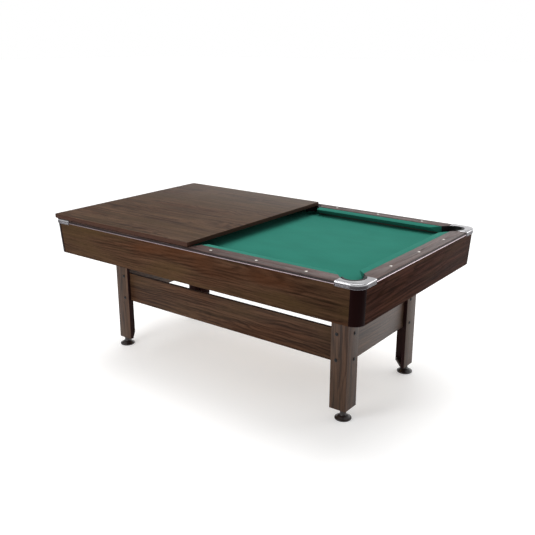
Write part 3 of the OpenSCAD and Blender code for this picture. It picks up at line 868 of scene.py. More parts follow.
class POOLTABLE_OT_bed_cloth(PieceOperator, bpy.types.Operator):
    """Playing cloth stretched over the bed and turned down into the six pockets"""

    bl_idname = "pool_table.bed_cloth"
    bl_label = "Bed cloth"

    def build(self, sizes):
        cloth = merged_copy("bed_cloth")
        with shaping(cloth):
            choose(cloth, "FACE", lambda face: face.normal.z < 0.9)
            bpy.ops.mesh.delete(type="FACE")
            for centre, radius, _ in pockets().values():
                self.turn_down(cloth, centre, radius, sizes)
            bpy.ops.mesh.select_all(action="SELECT")
            bpy.ops.mesh.normals_make_consistent(inside=False)
        apply_modifier(cloth, "TRIANGULATE", min_vertices=5)
        low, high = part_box("bed_cloth")
        holes = sum(math.pi * radius**2 for _, radius, _ in pockets().values())
        flat = (high.y - low.y, high.x - low.x)
        finished(cloth, "bed_cloth", "bed_green", angle=60)
        flat[0] * flat[1] - holes

    def turn_down(self, cloth, centre, radius, sizes):
        """Extrudes a hole's edge inward and down over the roll, then straight down."""
        near_hole = lambda edge: edge.is_boundary and (middle(edge).xy - centre).length < radius + 1 * MM
        choose(cloth, "EDGE", near_hole)
        roll, steps = sizes.cloth_roll, 5
        done_in, done_down = 0.0, 0.0
        for step in range(1, steps + 1):
            angle = math.pi / 2 * step / steps
            inward, down = roll * math.sin(angle), roll * (1 - math.cos(angle))
            self.next_ring(centre, (radius - inward) / (radius - done_in), done_down - down)
            done_in, done_down = inward, down
        self.next_ring(centre, 1.0, -sizes.cloth_tuck)

    def next_ring(self, centre, ratio, drop):
        bpy.ops.mesh.extrude_edges_move(TRANSFORM_OT_translate={"value": (0, 0, drop)})
        bpy.ops.transform.resize(value=(ratio, ratio, 1), center_override=(*centre, 0))


class POOLTABLE_OT_aprons(PieceOperator, bpy.types.Operator):
    """Leaning laminate aprons on the four sides"""

    bl_idname = "pool_table.aprons"
    bl_label = "Aprons"

    def build(self, sizes):
        for side in SIDES:
            apron = merged_copy("apron_" + side)
            soften(apron, sizes.arris)
            # The aprons' walnut is darkened as painted shade.
            grain = "apron_x" if side in ("near", "far") else "apron_y"
            outward = side_matrix(side).to_3x3() @ Vector((0, -1, 0))
            paint(apron, grain, "board_dark", lambda face: face.normal.dot(outward) < 0.8)
            finished(apron, "apron_" + side)


class POOLTABLE_OT_posts(PieceOperator, bpy.types.Operator):
    """Moulded corner posts between the aprons"""

    bl_idname = "pool_table.posts"
    bl_label = "Corner posts"

    def build(self, sizes):
        for quarter in QUARTERS:
            post = merged_copy("post_" + quarter)
            soften(post, 1.2 * MM, 3, 40)
            finished(post, "post_" + quarter, "corner_brown")


class POOLTABLE_OT_trims(PieceOperator, bpy.types.Operator):
    """Metal strips round the top of the cabinet, with a bright lower bead and an upper bead painted dark as
    shade
    """

    bl_idname = "pool_table.trims"
    bl_label = "Trim strips"

    def build(self, sizes):
        low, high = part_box("trim_near")
        back, height = high.y - low.y, high.z - low.z
        bead, web = height * 0.17, back * 0.62
        half_way = (low.z + high.z) / 2
        # The upper bead, the back and the ends are painted dark: painted shade, so that only the lower bead
        # reads bright.
        painted_shade_faces = lambda face: (
            face.center.y > web - 0.1 * MM or abs(face.normal.x) > 0.9 or face.center.z > half_way
        )
        outline = [(back, low.z), (back, high.z), (web, high.z)]
        for z in (high.z - bead - 0.4 * MM, low.z + bead + 0.4 * MM):
            crest = circle_arc((web, z), 1.0, 90, 270, 11)
            outline += [(web + (y - web) * web, z + (h - z) * bead) for y, h in crest]
        outline.append((web, low.z))
        for side in SIDES:
            along_x = side in ("near", "far")
            half = high.x if along_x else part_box("trim_right")[1].y
            strip = bar(outline, -half, half)
            # Near and far strips get the half-bright copy of the trim metal: painted shade.
            paint(strip, "trim_satin" if along_x else "trim_bright", "trim_dark", painted_shade_faces)
            settle(strip, side_matrix(side))
            finished(strip, "trim_" + side, angle=50)


class POOLTABLE_OT_rails(PieceOperator, bpy.types.Operator):
    """Laminate top rails with their recesses for the sights"""

    bl_idname = "pool_table.rails"
    bl_label = "Top rails"

    def build(self, sizes):
        mouths = [(centre, radius + 34 * MM) for centre, radius, _ in pockets().values()]
        at_a_mouth = lambda spot: any((spot - centre).length < reach for centre, reach in mouths)
        in_a_jaw = lambda face: abs(face.normal.z) < 0.6 and at_a_mouth(face.center.xy)
        for name in (*QUARTERS, "left", "right"):
            rail = merged_copy("rail_" + name)
            soften(rail, 0.5 * MM, 2, 40)
            grain = "rail_y" if name in ("left", "right") else "rail_x"
            paint(rail, grain, "pocket_black", in_a_jaw)
            finished(rail, "rail_" + name)


class POOLTABLE_OT_sights(PieceOperator, bpy.types.Operator):
    """Pearl sights let into the rails"""

    bl_idname = "pool_table.sights"
    bl_label = "Sights"

    def build(self, sizes):
        (low, high), *others = solids_of("sights")
        centre, radius, top = (low + high) / 2, (high.x - low.x) / 2, high.z
        outline = [(0, low.z), (radius, low.z), (radius, top - 0.45 * MM), (radius * 0.93, top - 0.15 * MM)]
        outline += [(radius * 0.72, top - 0.02 * MM), (radius * 0.62, top - 0.10 * MM)]
        outline += [(radius * 0.5, top), (0, top + 0.12 * MM)]
        first = turned(outline, 40)
        settle(first, Matrix.Translation((centre.x, centre.y, 0)))
        moves = [(low + high) / 2 - centre for low, high in others]
        discs = [first] + [copied(first, Matrix.Translation(move)) for move in moves]
        finished(join("sights", discs), "sights", "sight_pearl")


class POOLTABLE_OT_cushions(PieceOperator, bpy.types.Operator):
    """Cloth-covered rubber cushions with their noses, undercut faces and rounded points; the undercut faces
    carry painted shade
    """

    bl_idname = "pool_table.cushions"
    bl_label = "Cushions"

    def section(self, sizes):
        """Outline of (inward, up): back, foot, undercut, nose, crowned top and the crease at the rail."""
        low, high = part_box("cushion_right")
        back, nose = HALF_LENGTH - high.x, HALF_LENGTH - low.x
        nose_z, radius = CLOTH_TOP + CUSHION_NOSE, 3.6 * MM
        foot = back + CUSHION_FOOT
        points = [(back + 0.2 * MM, low.z), (foot - 2 * MM, low.z), (foot + 1 * MM, low.z + 1.2 * MM)]
        points += circle_arc((nose - radius, nose_z), radius, -52, 84, 12)
        top = high.z - 0.2 * MM
        for share in (0.25, 0.5, 0.75, 0.92):
            inward = nose - radius - (nose - radius - back) * share
            crown = 0.9 * MM * math.sin(math.pi * share)
            points.append((inward, nose_z + radius + (top - nose_z - radius) * share + crown))
        points += [(back + 2.2 * MM, top - 0.2 * MM), (back + 1.1 * MM, top - 1.0 * MM)]
        points += [(back + 0.3 * MM, top - sizes.feather_depth)]
        return points, back, nose

    def jaw(self, piece, corner, back_point, outward, radius):
        """Cuts an end along a jaw line and rounds its point in plan with tangent cuts."""
        line = Vector(back_point) - Vector(corner)
        across = Vector((line.y, -line.x)).normalized()
        if across.x * outward < 0:
            across = -across
        cut_off(piece, (*corner, 0), (*across, 0))
        start, end = math.atan2(1, 0), math.atan2(across.y, across.x)
        if outward < 0 and end < 0:
            end += math.tau
        turn = end - start
        bulge = radius * math.tan(abs(turn) / 2)
        centre = Vector((corner[0] - outward * bulge, corner[1] - radius))
        for share in (0.2, 0.4, 0.6, 0.8):
            angle = start + turn * share
            normal = Vector((math.cos(angle), math.sin(angle)))
            cut_off(piece, (*(centre + normal * radius), 0), (*normal, 0))

    def build(self, sizes):
        outline, back, nose = self.section(sizes)
        side_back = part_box("cushion_near_right")[0].x
        side_nose = side_back + SIDE_JAW_LEAD
        corner_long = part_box("cushion_near_right")[1].x
        corner_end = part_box("cushion_right")[1].y
        run = nose - back
        master = bar(outline, 0, corner_long + run)
        self.jaw(master, (side_nose, nose), (side_back, back), -1, sizes.side_jaw_round)
        self.jaw(master, (corner_long - run, nose), (corner_long, back), 1, sizes.jaw_round)
        short = bar(outline, -corner_end - run, corner_end + run)
        for way in (-1, 1):
            corner, back_point = (way * (corner_end - run), nose), (way * corner_end, back)
            self.jaw(short, corner, back_point, way, sizes.jaw_round)
        flip = Matrix.Diagonal((-1, 1, 1, 1))
        made = {
            "near_right": copied(master, side_matrix("near")),
            "near_left": copied(master, side_matrix("near") @ flip),
            "far_left": copied(master, side_matrix("far")),
            "far_right": copied(master, side_matrix("far") @ flip),
            "left": copied(short, side_matrix("left")),
            "right": copied(short, side_matrix("right")),
        }
        bpy.data.objects.remove(master)
        bpy.data.objects.remove(short)
        for name, piece in made.items():
            soften(piece, 0.8 * MM, 2, 38)
            side = name if name in ("left", "right") else name.split("_")[0]
            inward = side_matrix(side).to_3x3() @ Vector((0, 1, 0))
            # Undercut faces that look across the bed are painted darker: painted shade under the nose.
            shaded = lambda face: face.normal.z < 0.25 and face.normal.dot(inward) > 0.75
            paint(piece, "cushion_green", "cushion_face", shaded)
            finished(piece, "cushion_" + name, angle=45)


class POOLTABLE_OT_castings(PieceOperator, bpy.types.Operator):
    """Chrome corner castings: rounded plate over the pocket, groove and ribbed skirt"""

    bl_idname = "pool_table.castings"
    bl_label = "Corner castings"

    def rounded_plate(self, inset, reach, tip, low, high, corner):
        """Corner plate in its own frame, cut off behind the tips."""
        plate = block((inset, inset, low), (reach, reach, high))
        with shaping(plate):
            upright = lambda edge: abs(edge.verts[0].co.z - edge.verts[1].co.z) > 1 * MM
            choose(plate, "EDGE", lambda edge: upright(edge) and middle(edge).xy.length < reach * 0.5)
            bpy.ops.mesh.bevel(offset=corner - inset, segments=20, affect="EDGES")
        middle_of_tips = ((reach + tip) / 2, (reach + tip) / 2, 0)
        cut_off(plate, middle_of_tips, (1, 1, 0))
        return plate

    def skirt(self, stand, thickness, reach, low, high, corner):
        """Thin wall that follows the plate's outer edge: a section extruded, spun and extruded."""
        lip = 1.1 * MM
        outer, inner = -stand, -stand + thickness
        outline = [(outer + lip, high), (outer, high - lip), (outer, low + lip), (outer + lip * 0.6, low)]
        outline += [(inner - lip * 0.4, low), (inner, low + lip), (inner, high)]
        bpy.ops.mesh.primitive_circle_add(vertices=len(outline), fill_type="NGON")
        wall = bpy.context.object
        for vertex, (y, z) in zip(wall.data.vertices, outline):
            vertex.co = (reach, y, z)
        with shaping(wall):
            bpy.ops.mesh.extrude_region_move(TRANSFORM_OT_translate={"value": (corner - reach, 0, 0)})
            bpy.ops.mesh.spin(steps=20, angle=math.pi / 2, center=(corner, corner, 0), axis=(0, 0, 1))
            bpy.ops.mesh.extrude_region_move(TRANSFORM_OT_translate={"value": (0, reach - corner, 0)})
        tidy(wall)
        return wall

    def ribs(self, sizes, stand, low, high, reach, corner):
        """Half-round ribs up the skirt's two straight wings."""
        first = rod(sizes.rib_radius, low + 2.5 * MM, high - 2.0 * MM, (0, 0), 12)
        soften(first, 0.6 * MM, 2, 60)
        made = []
        depth = -stand + 0.55 * sizes.rib_radius
        along = corner + 4 * MM
        while along < reach - 3 * MM:
            made.append(copied(first, Matrix.Translation((along, depth, 0))))
            made.append(copied(first, Matrix.Translation((depth, along, 0))))
            along += sizes.rib_pitch
        bpy.data.objects.remove(first)
        return made

    def build(self, sizes):
        low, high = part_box("casting_near_left")
        reach = high.x + HALF_LENGTH
        stand, tip, corner = -HALF_LENGTH - low.x, CASTING_TIP, POST_CORNER
        top, flange = high.z, low.z
        groove_top = top - CASTING_PLATE
        centre, radius, _ = pockets()["liner_near_left"]
        hole = (centre.x + HALF_LENGTH, centre.y + HALF_WIDTH)

        plate = self.rounded_plate(-stand, reach, tip, groove_top, top, corner)
        carve(plate, rod(radius, groove_top - 5 * MM, top + 5 * MM, hole, 128))
        with shaping(plate):
            on_top = lambda edge: all(abs(v.co.z - top) < 0.01 * MM for v in edge.verts)
            from_hole = lambda edge: (middle(edge).xy - Vector(hole)).length
            outside = lambda edge: min(middle(edge).xy) < corner and from_hole(edge) > radius + 6 * MM
            on_path = lambda edge: on_top(edge) and outside(edge) and self.on_outline(edge, stand, corner)
            choose(plate, "EDGE", on_path)
            bpy.ops.mesh.bevel(offset=sizes.casting_edge, segments=5, affect="EDGES")
            at_mouth = lambda edge: on_top(edge) and abs(from_hole(edge) - radius) < 0.3 * MM
            choose(plate, "EDGE", at_mouth)
            bpy.ops.mesh.bevel(offset=sizes.mouth_edge, segments=4, affect="EDGES")
        soften(plate, 0.5 * MM, 2, 50)

        neck = self.rounded_plate(
            CASTING_NECK_INSET, reach - 0.4 * MM, tip, APRON_TOP, groove_top + 2 * MM, corner
        )
        carve(neck, rod(radius, APRON_TOP - 5 * MM, top + 5 * MM, hole, 128))
        skirt_top = groove_top - SKIRT_GROOVE
        wall = self.skirt(stand, SKIRT_WALL, reach, flange, skirt_top, corner)
        ribs = self.ribs(sizes, stand, flange, skirt_top, reach, corner)
        outward = lambda face: min(face.normal.xy) < -0.3 and abs(face.normal.z) < 0.3
        between_ribs = lambda face: face.area > 20 * MM**2 and outward(face)
        # Painted shade: the whole neck in the groove under the plate, and the skirt wall between the ribs,
        # take a dark finish.
        paint(plate, "casting_chrome", "casting_hollow", lambda face: False)
        paint(neck, "casting_chrome", "casting_hollow", lambda face: True)
        for part in (wall, *ribs):
            paint(part, "casting_skirt", "casting_hollow", between_ribs)
        master = join("casting_master", [plate, neck, wall, *ribs])
        for quarter in QUARTERS:
            piece = copied(master, quarter_matrix(quarter, HALF_LENGTH, HALF_WIDTH))
            finished(piece, "casting_" + quarter, angle=40)
        bpy.data.objects.remove(master)

    def on_outline(self, edge, stand, corner):
        """True for an edge on the outer outline: the two straight wings or the round corner."""
        point = middle(edge).xy
        if min(point) > corner:
            return False
        if max(point) >= corner:
            return abs(min(point) + stand) < 0.05 * MM
        return abs((point - Vector((corner, corner))).length - corner - stand) < 0.3 * MM


class POOLTABLE_OT_liners(PieceOperator, bpy.types.Operator):
    """Black pocket cups with a raised collar behind each pocket"""

    bl_idname = "pool_table.liners"
    bl_label = "Pocket liners"

    def build(self, sizes):
        for node, (centre, radius, angle) in pockets().items():
            low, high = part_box(node)
            cup = self.cup(radius - LINER_GAP, low.z, high.z, CLOTH_TOP - sizes.cloth_roll - 1.5 * MM)
            rim = self.rim(radius, radius + LINER_RIM, BED_BOTTOM - LINER_RIM_THICKNESS, BED_BOTTOM)
            rise = sizes.lip_rise if node.endswith(("left", "right")) else sizes.side_lip_rise
            lip = self.lip(radius - 0.8 * MM, sizes.lip_width, high.z + rise)
            liner = join(node, [cup, rim, lip])
            turn = Matrix.Rotation(angle + math.pi / 2, 4, "Z")
            settle(liner, Matrix.Translation((*centre, 0)) @ turn)
            finished(liner, node, "pocket_black", angle=40)

    def cup(self, outer, floor, top, front):
        """Round cup whose wall stands high behind (-Y) and low in front."""
        cup = rod(outer, floor, top, sides=96)
        with shaping(cup):
            choose(cup, "FACE", lambda face: face.normal.z > 0.9)
            bpy.ops.mesh.delete(type="FACE")
            for height in (front, floor + 30 * MM, floor + 34 * MM, floor + 64 * MM, floor + 68 * MM):
                bpy.ops.mesh.select_all(action="SELECT")
                bpy.ops.mesh.bisect(plane_co=(0, 0, height), plane_no=(0, 0, 1))
            centre_of = lambda face: face.calc_center_median()
            in_front = lambda face: centre_of(face).z > front and centre_of(face).y > 0
            choose(cup, "FACE", in_front)
            bpy.ops.mesh.delete(type="FACE")
            in_band = lambda face: any(
                floor + h < centre_of(face).z < floor + h + 4 * MM for h in (30 * MM, 64 * MM)
            )
            choose(cup, "FACE", in_band)
            bpy.ops.transform.resize(value=(1.012, 1.012, 1), center_override=(0, 0, 0))
            choose(cup, "FACE", lambda face: face.normal.z < -0.9)
            for step, lift in ((8 * MM, 0), (3 * MM, 2 * MM), (14 * MM, 0), (3 * MM, -2 * MM)):
                bpy.ops.mesh.inset(thickness=step, depth=0)
                bpy.ops.transform.translate(value=(0, 0, lift))
        apply_modifier(cup, "SOLIDIFY", thickness=LINER_WALL, offset=-1, use_even_offset=True)
        soften(cup, 0.9 * MM, 2, 50)
        return cup

    def lip(self, outer, width, top):
        """Rounded lip that turns in from the collar's top edge, behind the pocket."""
        crest = circle_arc((0, 0), 1.0, 0, 180, 9)
        outline = [(outer - width / 2 + x * width / 2, top - (1 - z) * 3 * MM) for x, z in crest]
        under = ((width, 6 * MM), (width * 0.7, 8 * MM), (0, 9 * MM))
        outline += [(outer - inward, top - down) for inward, down in under]
        lip = turned(outline, 96)
        cut_off(lip, (0, 6 * MM, 0), (0, 1, 0))
        return lip

    def rim(self, inner, outer, low, high):
        """Flat fixing ring under the bed."""
        ring = rod(outer, low, high, sides=96)
        carve(ring, rod(inner - 1.5 * MM, low - MM, high + MM, sides=96))
        soften(ring, 0.8 * MM, 2, 50)
        return ring


class POOLTABLE_OT_liner_screws(PieceOperator, bpy.types.Operator):
    """Cross-head screws that hold the liners' collars"""

    bl_idname = "pool_table.liner_screws"
    bl_label = "Liner screws"

    def build(self, sizes):
        screw = turned([(x * MM, z * MM) for x, z in SCREW_OUTLINE[::-1]], 40)
        for turn in (0, math.pi / 2):
            slot = block((-3.0 * MM, -0.55 * MM, 1.4 * MM), (3.0 * MM, 0.55 * MM, 5 * MM))
            settle(slot, Matrix.Rotation(turn, 4, "Z"))
            carve(screw, slot)
        made = []
        for centre, radius, angle in pockets().values():
            reach = radius - LINER_GAP - LINER_WALL - 0.3 * MM
            out = Vector((math.cos(angle), math.sin(angle)))
            place = Vector((*(centre + out * reach), CLOTH_TOP + SCREW_HEIGHT))
            facing = Matrix.Rotation(angle + math.pi, 4, "Z") @ Matrix.Rotation(math.pi / 2, 4, "Y")
            made.append(copied(screw, Matrix.Translation(place) @ facing))
        bpy.data.objects.remove(screw)
        finished(join("liner_screws", made), "liner_screws", "screw_steel")


class POOLTABLE_OT_legs(PieceOperator, bpy.types.Operator):
    """Angle legs, each of two laminate boards mitred along the outer corner"""

    bl_idname = "pool_table.legs"
    bl_label = "Legs"

    def build(self, sizes):
        low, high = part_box("leg_near_left")
        span_x, span_y = high.x - low.x, high.y - low.y
        along_x = block((0, 0, low.z), (span_x, LEG_BOARD, high.z))
        along_y = block((0, 0, low.z), (LEG_BOARD, span_y, high.z))
        cut_off(along_x, (0, 0, 0), (-1, 1, 0))
        cut_off(along_y, (0, 0, 0), (1, -1, 0))
        for piece, outward in ((along_x, (0, -1, 0)), (along_y, (-1, 0, 0))):
            soften(piece, sizes.arris * 0.8, 2, 30)
            paint(piece, "walnut_z", "board_dark", lambda face: face.normal.dot(Vector(outward)) < 0.8)
        master = join("leg_master", [along_x, along_y])
        for quarter in QUARTERS:
            leg = copied(master, quarter_matrix(quarter, -low.x, -low.y))
            finished(leg, "leg_" + quarter)
        bpy.data.objects.remove(master)


class POOLTABLE_OT_bases(PieceOperator, bpy.types.Operator):
    """Triangular blocks in the foot ends of the legs, each with its steel insert"""

    bl_idname = "pool_table.bases"
    bl_label = "Base blocks"

    def build(self, sizes):
        for quarter in QUARTERS:
            base = merged_copy("base_" + quarter)
            soften(base, 0.8 * MM, 2, 40)
            finished(base, "base_" + quarter, "block_dark")


class POOLTABLE_OT_stretchers(PieceOperator, bpy.types.Operator):
    """Laminate stretchers between the legs"""

    bl_idname = "pool_table.stretchers"
    bl_label = "Stretchers"

    def build(self, sizes):
        for side in SIDES:
            low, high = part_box("stretcher_" + side)
            stretcher = block(low, high)
            soften(stretcher, sizes.arris)
            grain = "walnut_x" if side in ("near", "far") else "walnut_y"
            # The stretchers' top and bottom faces are painted dark: partly edge band, partly painted shade
            # under the aprons.
            paint(stretcher, grain, "board_dark", lambda face: abs(face.normal.z) > 0.8)
            finished(stretcher, "stretcher_" + side)


class POOLTABLE_OT_leg_bolts(PieceOperator, bpy.types.Operator):
    """Black socket-head bolts through the legs into the stretchers"""

    bl_idname = "pool_table.leg_bolts"
    bl_label = "Leg bolts"

    def build(self, sizes):
        bolts = []
        model = None
        for low, high in solids_of("leg_bolts"):
            size, centre = high - low, (low + high) / 2
            axis = max(range(3), key=lambda i: size[i])
            head, total = max(size[(axis + 1) % 3], size[(axis + 2) % 3]) / 2, size[axis]
            if model is None:
                model = self.bolt(head, BOLT_RISE, BOLT_SHANK, total, sizes.socket)
            outward = Vector((0, 0, 0))
            outward[axis] = 1 if centre[axis] > 0 else -1
            seat = centre + outward * (total / 2 - BOLT_RISE)
            turn = Vector((0, 0, 1)).rotation_difference(outward).to_matrix().to_4x4()
            bolts.append(copied(model, Matrix.Translation(seat) @ turn))
        bpy.data.objects.remove(model)
        finished(join("leg_bolts", bolts), "leg_bolts", "bolt_black")

    def bolt(self, head, rise, shank, total, socket):
        """Flat-domed head above z = 0 with a hexagon socket, and the shank below."""
        end, chamfer = rise - total, 0.8 * MM
        outline = [(0, end), (shank - chamfer, end), (shank, end + chamfer), (shank, 0)]
        outline += [(head, 0), (head, 1.0 * MM), (head * 0.93, 2.2 * MM), (head * 0.78, 3.2 * MM)]
        outline += [(head * 0.58, rise - 0.15 * MM), (head * 0.5, rise), (0, rise)]
        bolt = turned(outline, 32)
        carve(bolt, rod(socket, rise - 2.4 * MM, rise + 5 * MM, sides=6))
        return bolt


class POOLTABLE_OT_feet(PieceOperator, bpy.types.Operator):
    """Levelling feet: domed discs on threaded stems"""

    bl_idname = "pool_table.feet"
    bl_label = "Levelling feet"

    def build(self, sizes):
        low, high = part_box("foot_near_left")
        centre, radius = (low + high) / 2, (high.x - low.x) / 2
        leg_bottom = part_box("leg_near_left")[0].z
        hub_top, hub = leg_bottom - FOOT_GAP, FOOT_HUB
        outline = [(0, 0)] + [(radius - inward * MM, up * MM) for inward, up in FOOT_EDGE]
        for share in (0.15, 0.3, 0.45, 0.6, 0.75, 0.9, 1.0):
            reach = radius - 6.0 * MM - (radius - 6.0 * MM - hub) * share
            outline.append((reach, 9.7 * MM + 12.3 * MM * math.sin(share * math.pi / 2) ** 1.15))
        outline += [(hub - 1.6 * MM, 24 * MM), (hub - 2 * MM, 27 * MM), (hub - 2 * MM, hub_top - 2 * MM)]
        outline += [(hub - 2.6 * MM, hub_top - 0.6 * MM), (hub - 4 * MM, hub_top), (0, hub_top)]
        disc = turned(outline, 80)
        grip = [self.grip(hub - 2 * MM, 27.5 * MM, hub_top - 3 * MM, k * math.tau / 12) for k in range(12)]
        stem = self.thread(STEM_RADIUS, hub_top - 2 * MM, high.z, sizes.thread_pitch)
        foot = join("foot_master", [disc, *grip, *stem])
        settle(foot, Matrix.Translation((centre.x, centre.y, 0)))
        for quarter in QUARTERS:
            sx, sy = signs(quarter)
            piece = copied(foot, Matrix.Diagonal((-sx, -sy, 1, 1)))
            name = "foot_" + quarter
            finished(piece, name, "foot_brown", angle=40, body=name)
        bpy.data.objects.remove(foot)

    def grip(self, radius, low, high, angle):
        """One rounded rib of the hub, for turning the foot by hand."""
        rib = rod(1.6 * MM, low, high, (radius - 0.5 * MM, 0), 10)
        soften(rib, 0.5 * MM, 1, 60)
        settle(rib, Matrix.Rotation(angle, 4, "Z"))
        return rib

    def thread(self, radius, low, high, pitch):
        """Helical ridge over a core with a chamfered end."""
        depth = 0.55 * MM
        root = radius - depth
        ridge = outline_ring([(root, low), (radius, low + pitch / 2), (root, low + pitch)])
        with shaping(ridge):
            long_edge = lambda edge: abs(edge.verts[0].co.z - edge.verts[1].co.z) > pitch * 0.9
            choose(ridge, "EDGE", long_edge)
            bpy.ops.mesh.delete(type="EDGE")
        turns = int((high - low - 2 * MM) / pitch)
        winding = {"angle": math.tau, "axis": "Z", "screw_offset": pitch, "iterations": turns}
        apply_modifier(ridge, "SCREW", **winding, steps=20, render_steps=20)
        tidy(ridge)
        body, chamfer = root + 0.02 * MM, 1 * MM
        outline = [(0, low), (body, low), (body, high - chamfer), (root - chamfer, high), (0, high)]
        return [ridge, turned(outline, 32)]


class POOLTABLE_OT_cover(PieceOperator, bpy.types.Operator):
    """Laminate half cover panel with banded edges"""

    bl_idname = "pool_table.cover"
    bl_label = "Cover panel"

    def build(self, sizes):
        panel = merged_copy("cover_panel")
        soften(panel, sizes.cover_arris, 3, 40)
        paint(panel, "cover_top", "cover_edge", lambda face: abs(face.normal.z) < 0.7)
        finished(panel, "cover_panel", body="cover")


class POOLTABLE_OT_cover_pads(PieceOperator, bpy.types.Operator):
    """Felt strips under the cover panel"""

    bl_idname = "pool_table.cover_pads"
    bl_label = "Cover pads"

    def build(self, sizes):
        strips = []
        for low, high in solids_of("cover_pads"):
            strip = block(low, high)
            soften(strip, 1.0 * MM, 3, 40)
            strips.append(strip)
        felt = join("cover_pads", strips)
        finished(felt, "cover_pads", "pad_felt", body="cover")


class POOLTABLE_OT_stage(bpy.types.Operator):
    """Pale floor, soft light and the camera"""

    bl_idname = "pool_table.stage"
    bl_label = "Stage"

    def execute(self, context):
        stage = context.scene.pool_table_stage
        bpy.ops.mesh.primitive_plane_add(size=120, location=(0, 0, 0))
        floor = context.object
        floor.name = "studio_floor"
        floor.data.materials.append(finish("floor_pale"))
        self.camera(context, stage)
        self.overhead(stage.key_light)
        self.softbox("fill", *FILL_BOX, stage.fill_light)
        self.softbox("back", *BACK_BOX, stage.back_light)
        self.surround(context)
        return {"FINISHED"}

    def camera(self, context, stage):
        bpy.ops.object.camera_add(location=stage.eye)
        camera = context.object
        flat = math.cos(stage.pitch)
        ahead = Vector((-math.sin(stage.yaw) * flat, math.cos(stage.yaw) * flat, -math.sin(stage.pitch)))
        camera.rotation_euler = ahead.to_track_quat("-Z", "Y").to_euler()
        camera.data.sensor_width = 36
        camera.data.lens = stage.lens
        camera.data.clip_end = 200
        context.scene.camera = camera

    def overhead(self, strength):
        """Very soft light from above, a little behind and to the left, even over the whole floor."""
        bpy.ops.object.light_add(type="SUN", location=(0, 0, 5))
        lamp = bpy.context.object
        lamp.name = "studio_overhead"
        lamp.data.energy = strength
        lamp.data.angle = math.radians(OVERHEAD_SPREAD)
        lamp.rotation_euler = Vector(OVERHEAD_WAY).to_track_quat("-Z", "Y").to_euler()

    def softbox(self, name, place, target, size, power):
        bpy.ops.object.light_add(type="AREA", location=place)
        lamp = bpy.context.object
        lamp.name = "studio_" + name
        lamp.data.shape = "DISK"
        lamp.data.size = size
        lamp.data.energy = power
        lamp.rotation_euler = (Vector(target) - Vector(place)).to_track_quat("-Z", "Y").to_euler()

    def surround(self, context):
        """Plain white backdrop whose light is stronger from the right back than from elsewhere."""
        world = bpy.data.worlds.new("studio_white")
        context.scene.world = world
        context.scene.view_settings.view_transform = "Standard"
        world.use_nodes = True
        nodes, links = world.node_tree.nodes, world.node_tree.links
        place = nodes.new("ShaderNodeTexCoord")
        axes = nodes.new("ShaderNodeSeparateXYZ")
        links.new(place.outputs["Generated"], axes.inputs[0])
        facing = nodes.new("ShaderNodeVectorMath")
        facing.operation = "DOT_PRODUCT"
        facing.inputs[1].default_value = SKY_BRIGHT_SIDE
        links.new(place.outputs["Generated"], facing.inputs[0])
        spread = nodes.new("ShaderNodeMapRange")
        spread.interpolation_type = "SMOOTHSTEP"
        for socket, limit in zip(("From Min", "From Max"), SKY_SPREAD):
            spread.inputs[socket].default_value = limit
        links.new(facing.outputs["Value"], spread.inputs["Value"])
        blend = nodes.new("ShaderNodeMix")
        blend.data_type = "RGBA"
        links.new(spread.outputs[0], blend.inputs[0])
        for socket, levels in ((6, SKY_AWAY), (7, SKY_TOWARDS)):
            ramp = nodes.new("ShaderNodeValToRGB")
            stops = ramp.color_ramp.elements
            while len(stops) < len(levels):
                stops.new(0.5)
            for stop, height, grey in zip(stops, SKY_HEIGHTS, levels):
                stop.position, stop.color = height, (grey, grey, grey, 1)
            links.new(axes.outputs[2], ramp.inputs[0])
            links.new(ramp.outputs[0], blend.inputs[socket])
        seen = nodes.new("ShaderNodeMix")
        seen.data_type = "RGBA"
        seen.inputs[7].default_value = (1, 1, 1, 1)
        links.new(nodes.new("ShaderNodeLightPath").outputs["Is Camera Ray"], seen.inputs[0])
        links.new(blend.outputs[2], seen.inputs[6])
        links.new(seen.outputs[2], nodes["Background"].inputs["Color"])


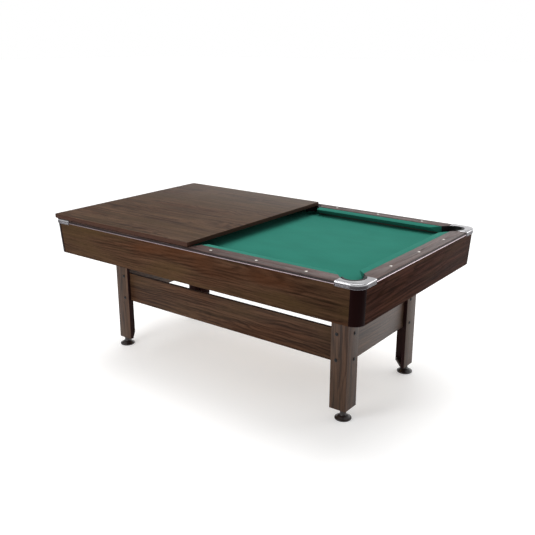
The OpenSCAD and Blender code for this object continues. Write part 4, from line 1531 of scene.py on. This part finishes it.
PIECE_OPERATORS = (
    POOLTABLE_OT_bed,
    POOLTABLE_OT_bed_cloth,
    POOLTABLE_OT_aprons,
    POOLTABLE_OT_posts,
    POOLTABLE_OT_trims,
    POOLTABLE_OT_rails,
    POOLTABLE_OT_sights,
    POOLTABLE_OT_cushions,
    POOLTABLE_OT_castings,
    POOLTABLE_OT_liners,
    POOLTABLE_OT_liner_screws,
    POOLTABLE_OT_legs,
    POOLTABLE_OT_bases,
    POOLTABLE_OT_stretchers,
    POOLTABLE_OT_leg_bolts,
    POOLTABLE_OT_feet,
    POOLTABLE_OT_cover,
    POOLTABLE_OT_cover_pads,
    POOLTABLE_OT_stage,
)


class POOLTABLE_PT_panel(bpy.types.Panel):
    """Pool table pieces, sizes and colours"""

    bl_label = "Pool table"
    bl_idname = "POOLTABLE_PT_panel"
    bl_space_type = "VIEW_3D"
    bl_region_type = "UI"
    bl_category = "Pool table"

    def draw(self, context):
        layout = self.layout
        for operator in PIECE_OPERATORS:
            layout.operator(operator.bl_idname)
        scene = context.scene
        for group in (scene.pool_table_sizes, scene.pool_table_colours, scene.pool_table_stage):
            box = layout.box()
            for name in type(group).__annotations__:
                box.prop(group, name)


CLASSES = (PoolTableSizes, PoolTableColours, PoolTableStage, *PIECE_OPERATORS, POOLTABLE_PT_panel)


def register():
    for cls in CLASSES:
        bpy.utils.register_class(cls)
    bpy.types.Scene.pool_table_sizes = bpy.props.PointerProperty(type=PoolTableSizes)
    bpy.types.Scene.pool_table_colours = bpy.props.PointerProperty(type=PoolTableColours)
    bpy.types.Scene.pool_table_stage = bpy.props.PointerProperty(type=PoolTableStage)


def unregister():
    del bpy.types.Scene.pool_table_stage
    del bpy.types.Scene.pool_table_colours
    del bpy.types.Scene.pool_table_sizes
    for cls in reversed(CLASSES):
        bpy.utils.unregister_class(cls)


def main():
    register()
    prepare_finishes()
    for operator in PIECE_OPERATORS:
        group, name = operator.bl_idname.split(".")
        getattr(getattr(bpy.ops, group), name)()


if __name__ == "__main__":
    main()
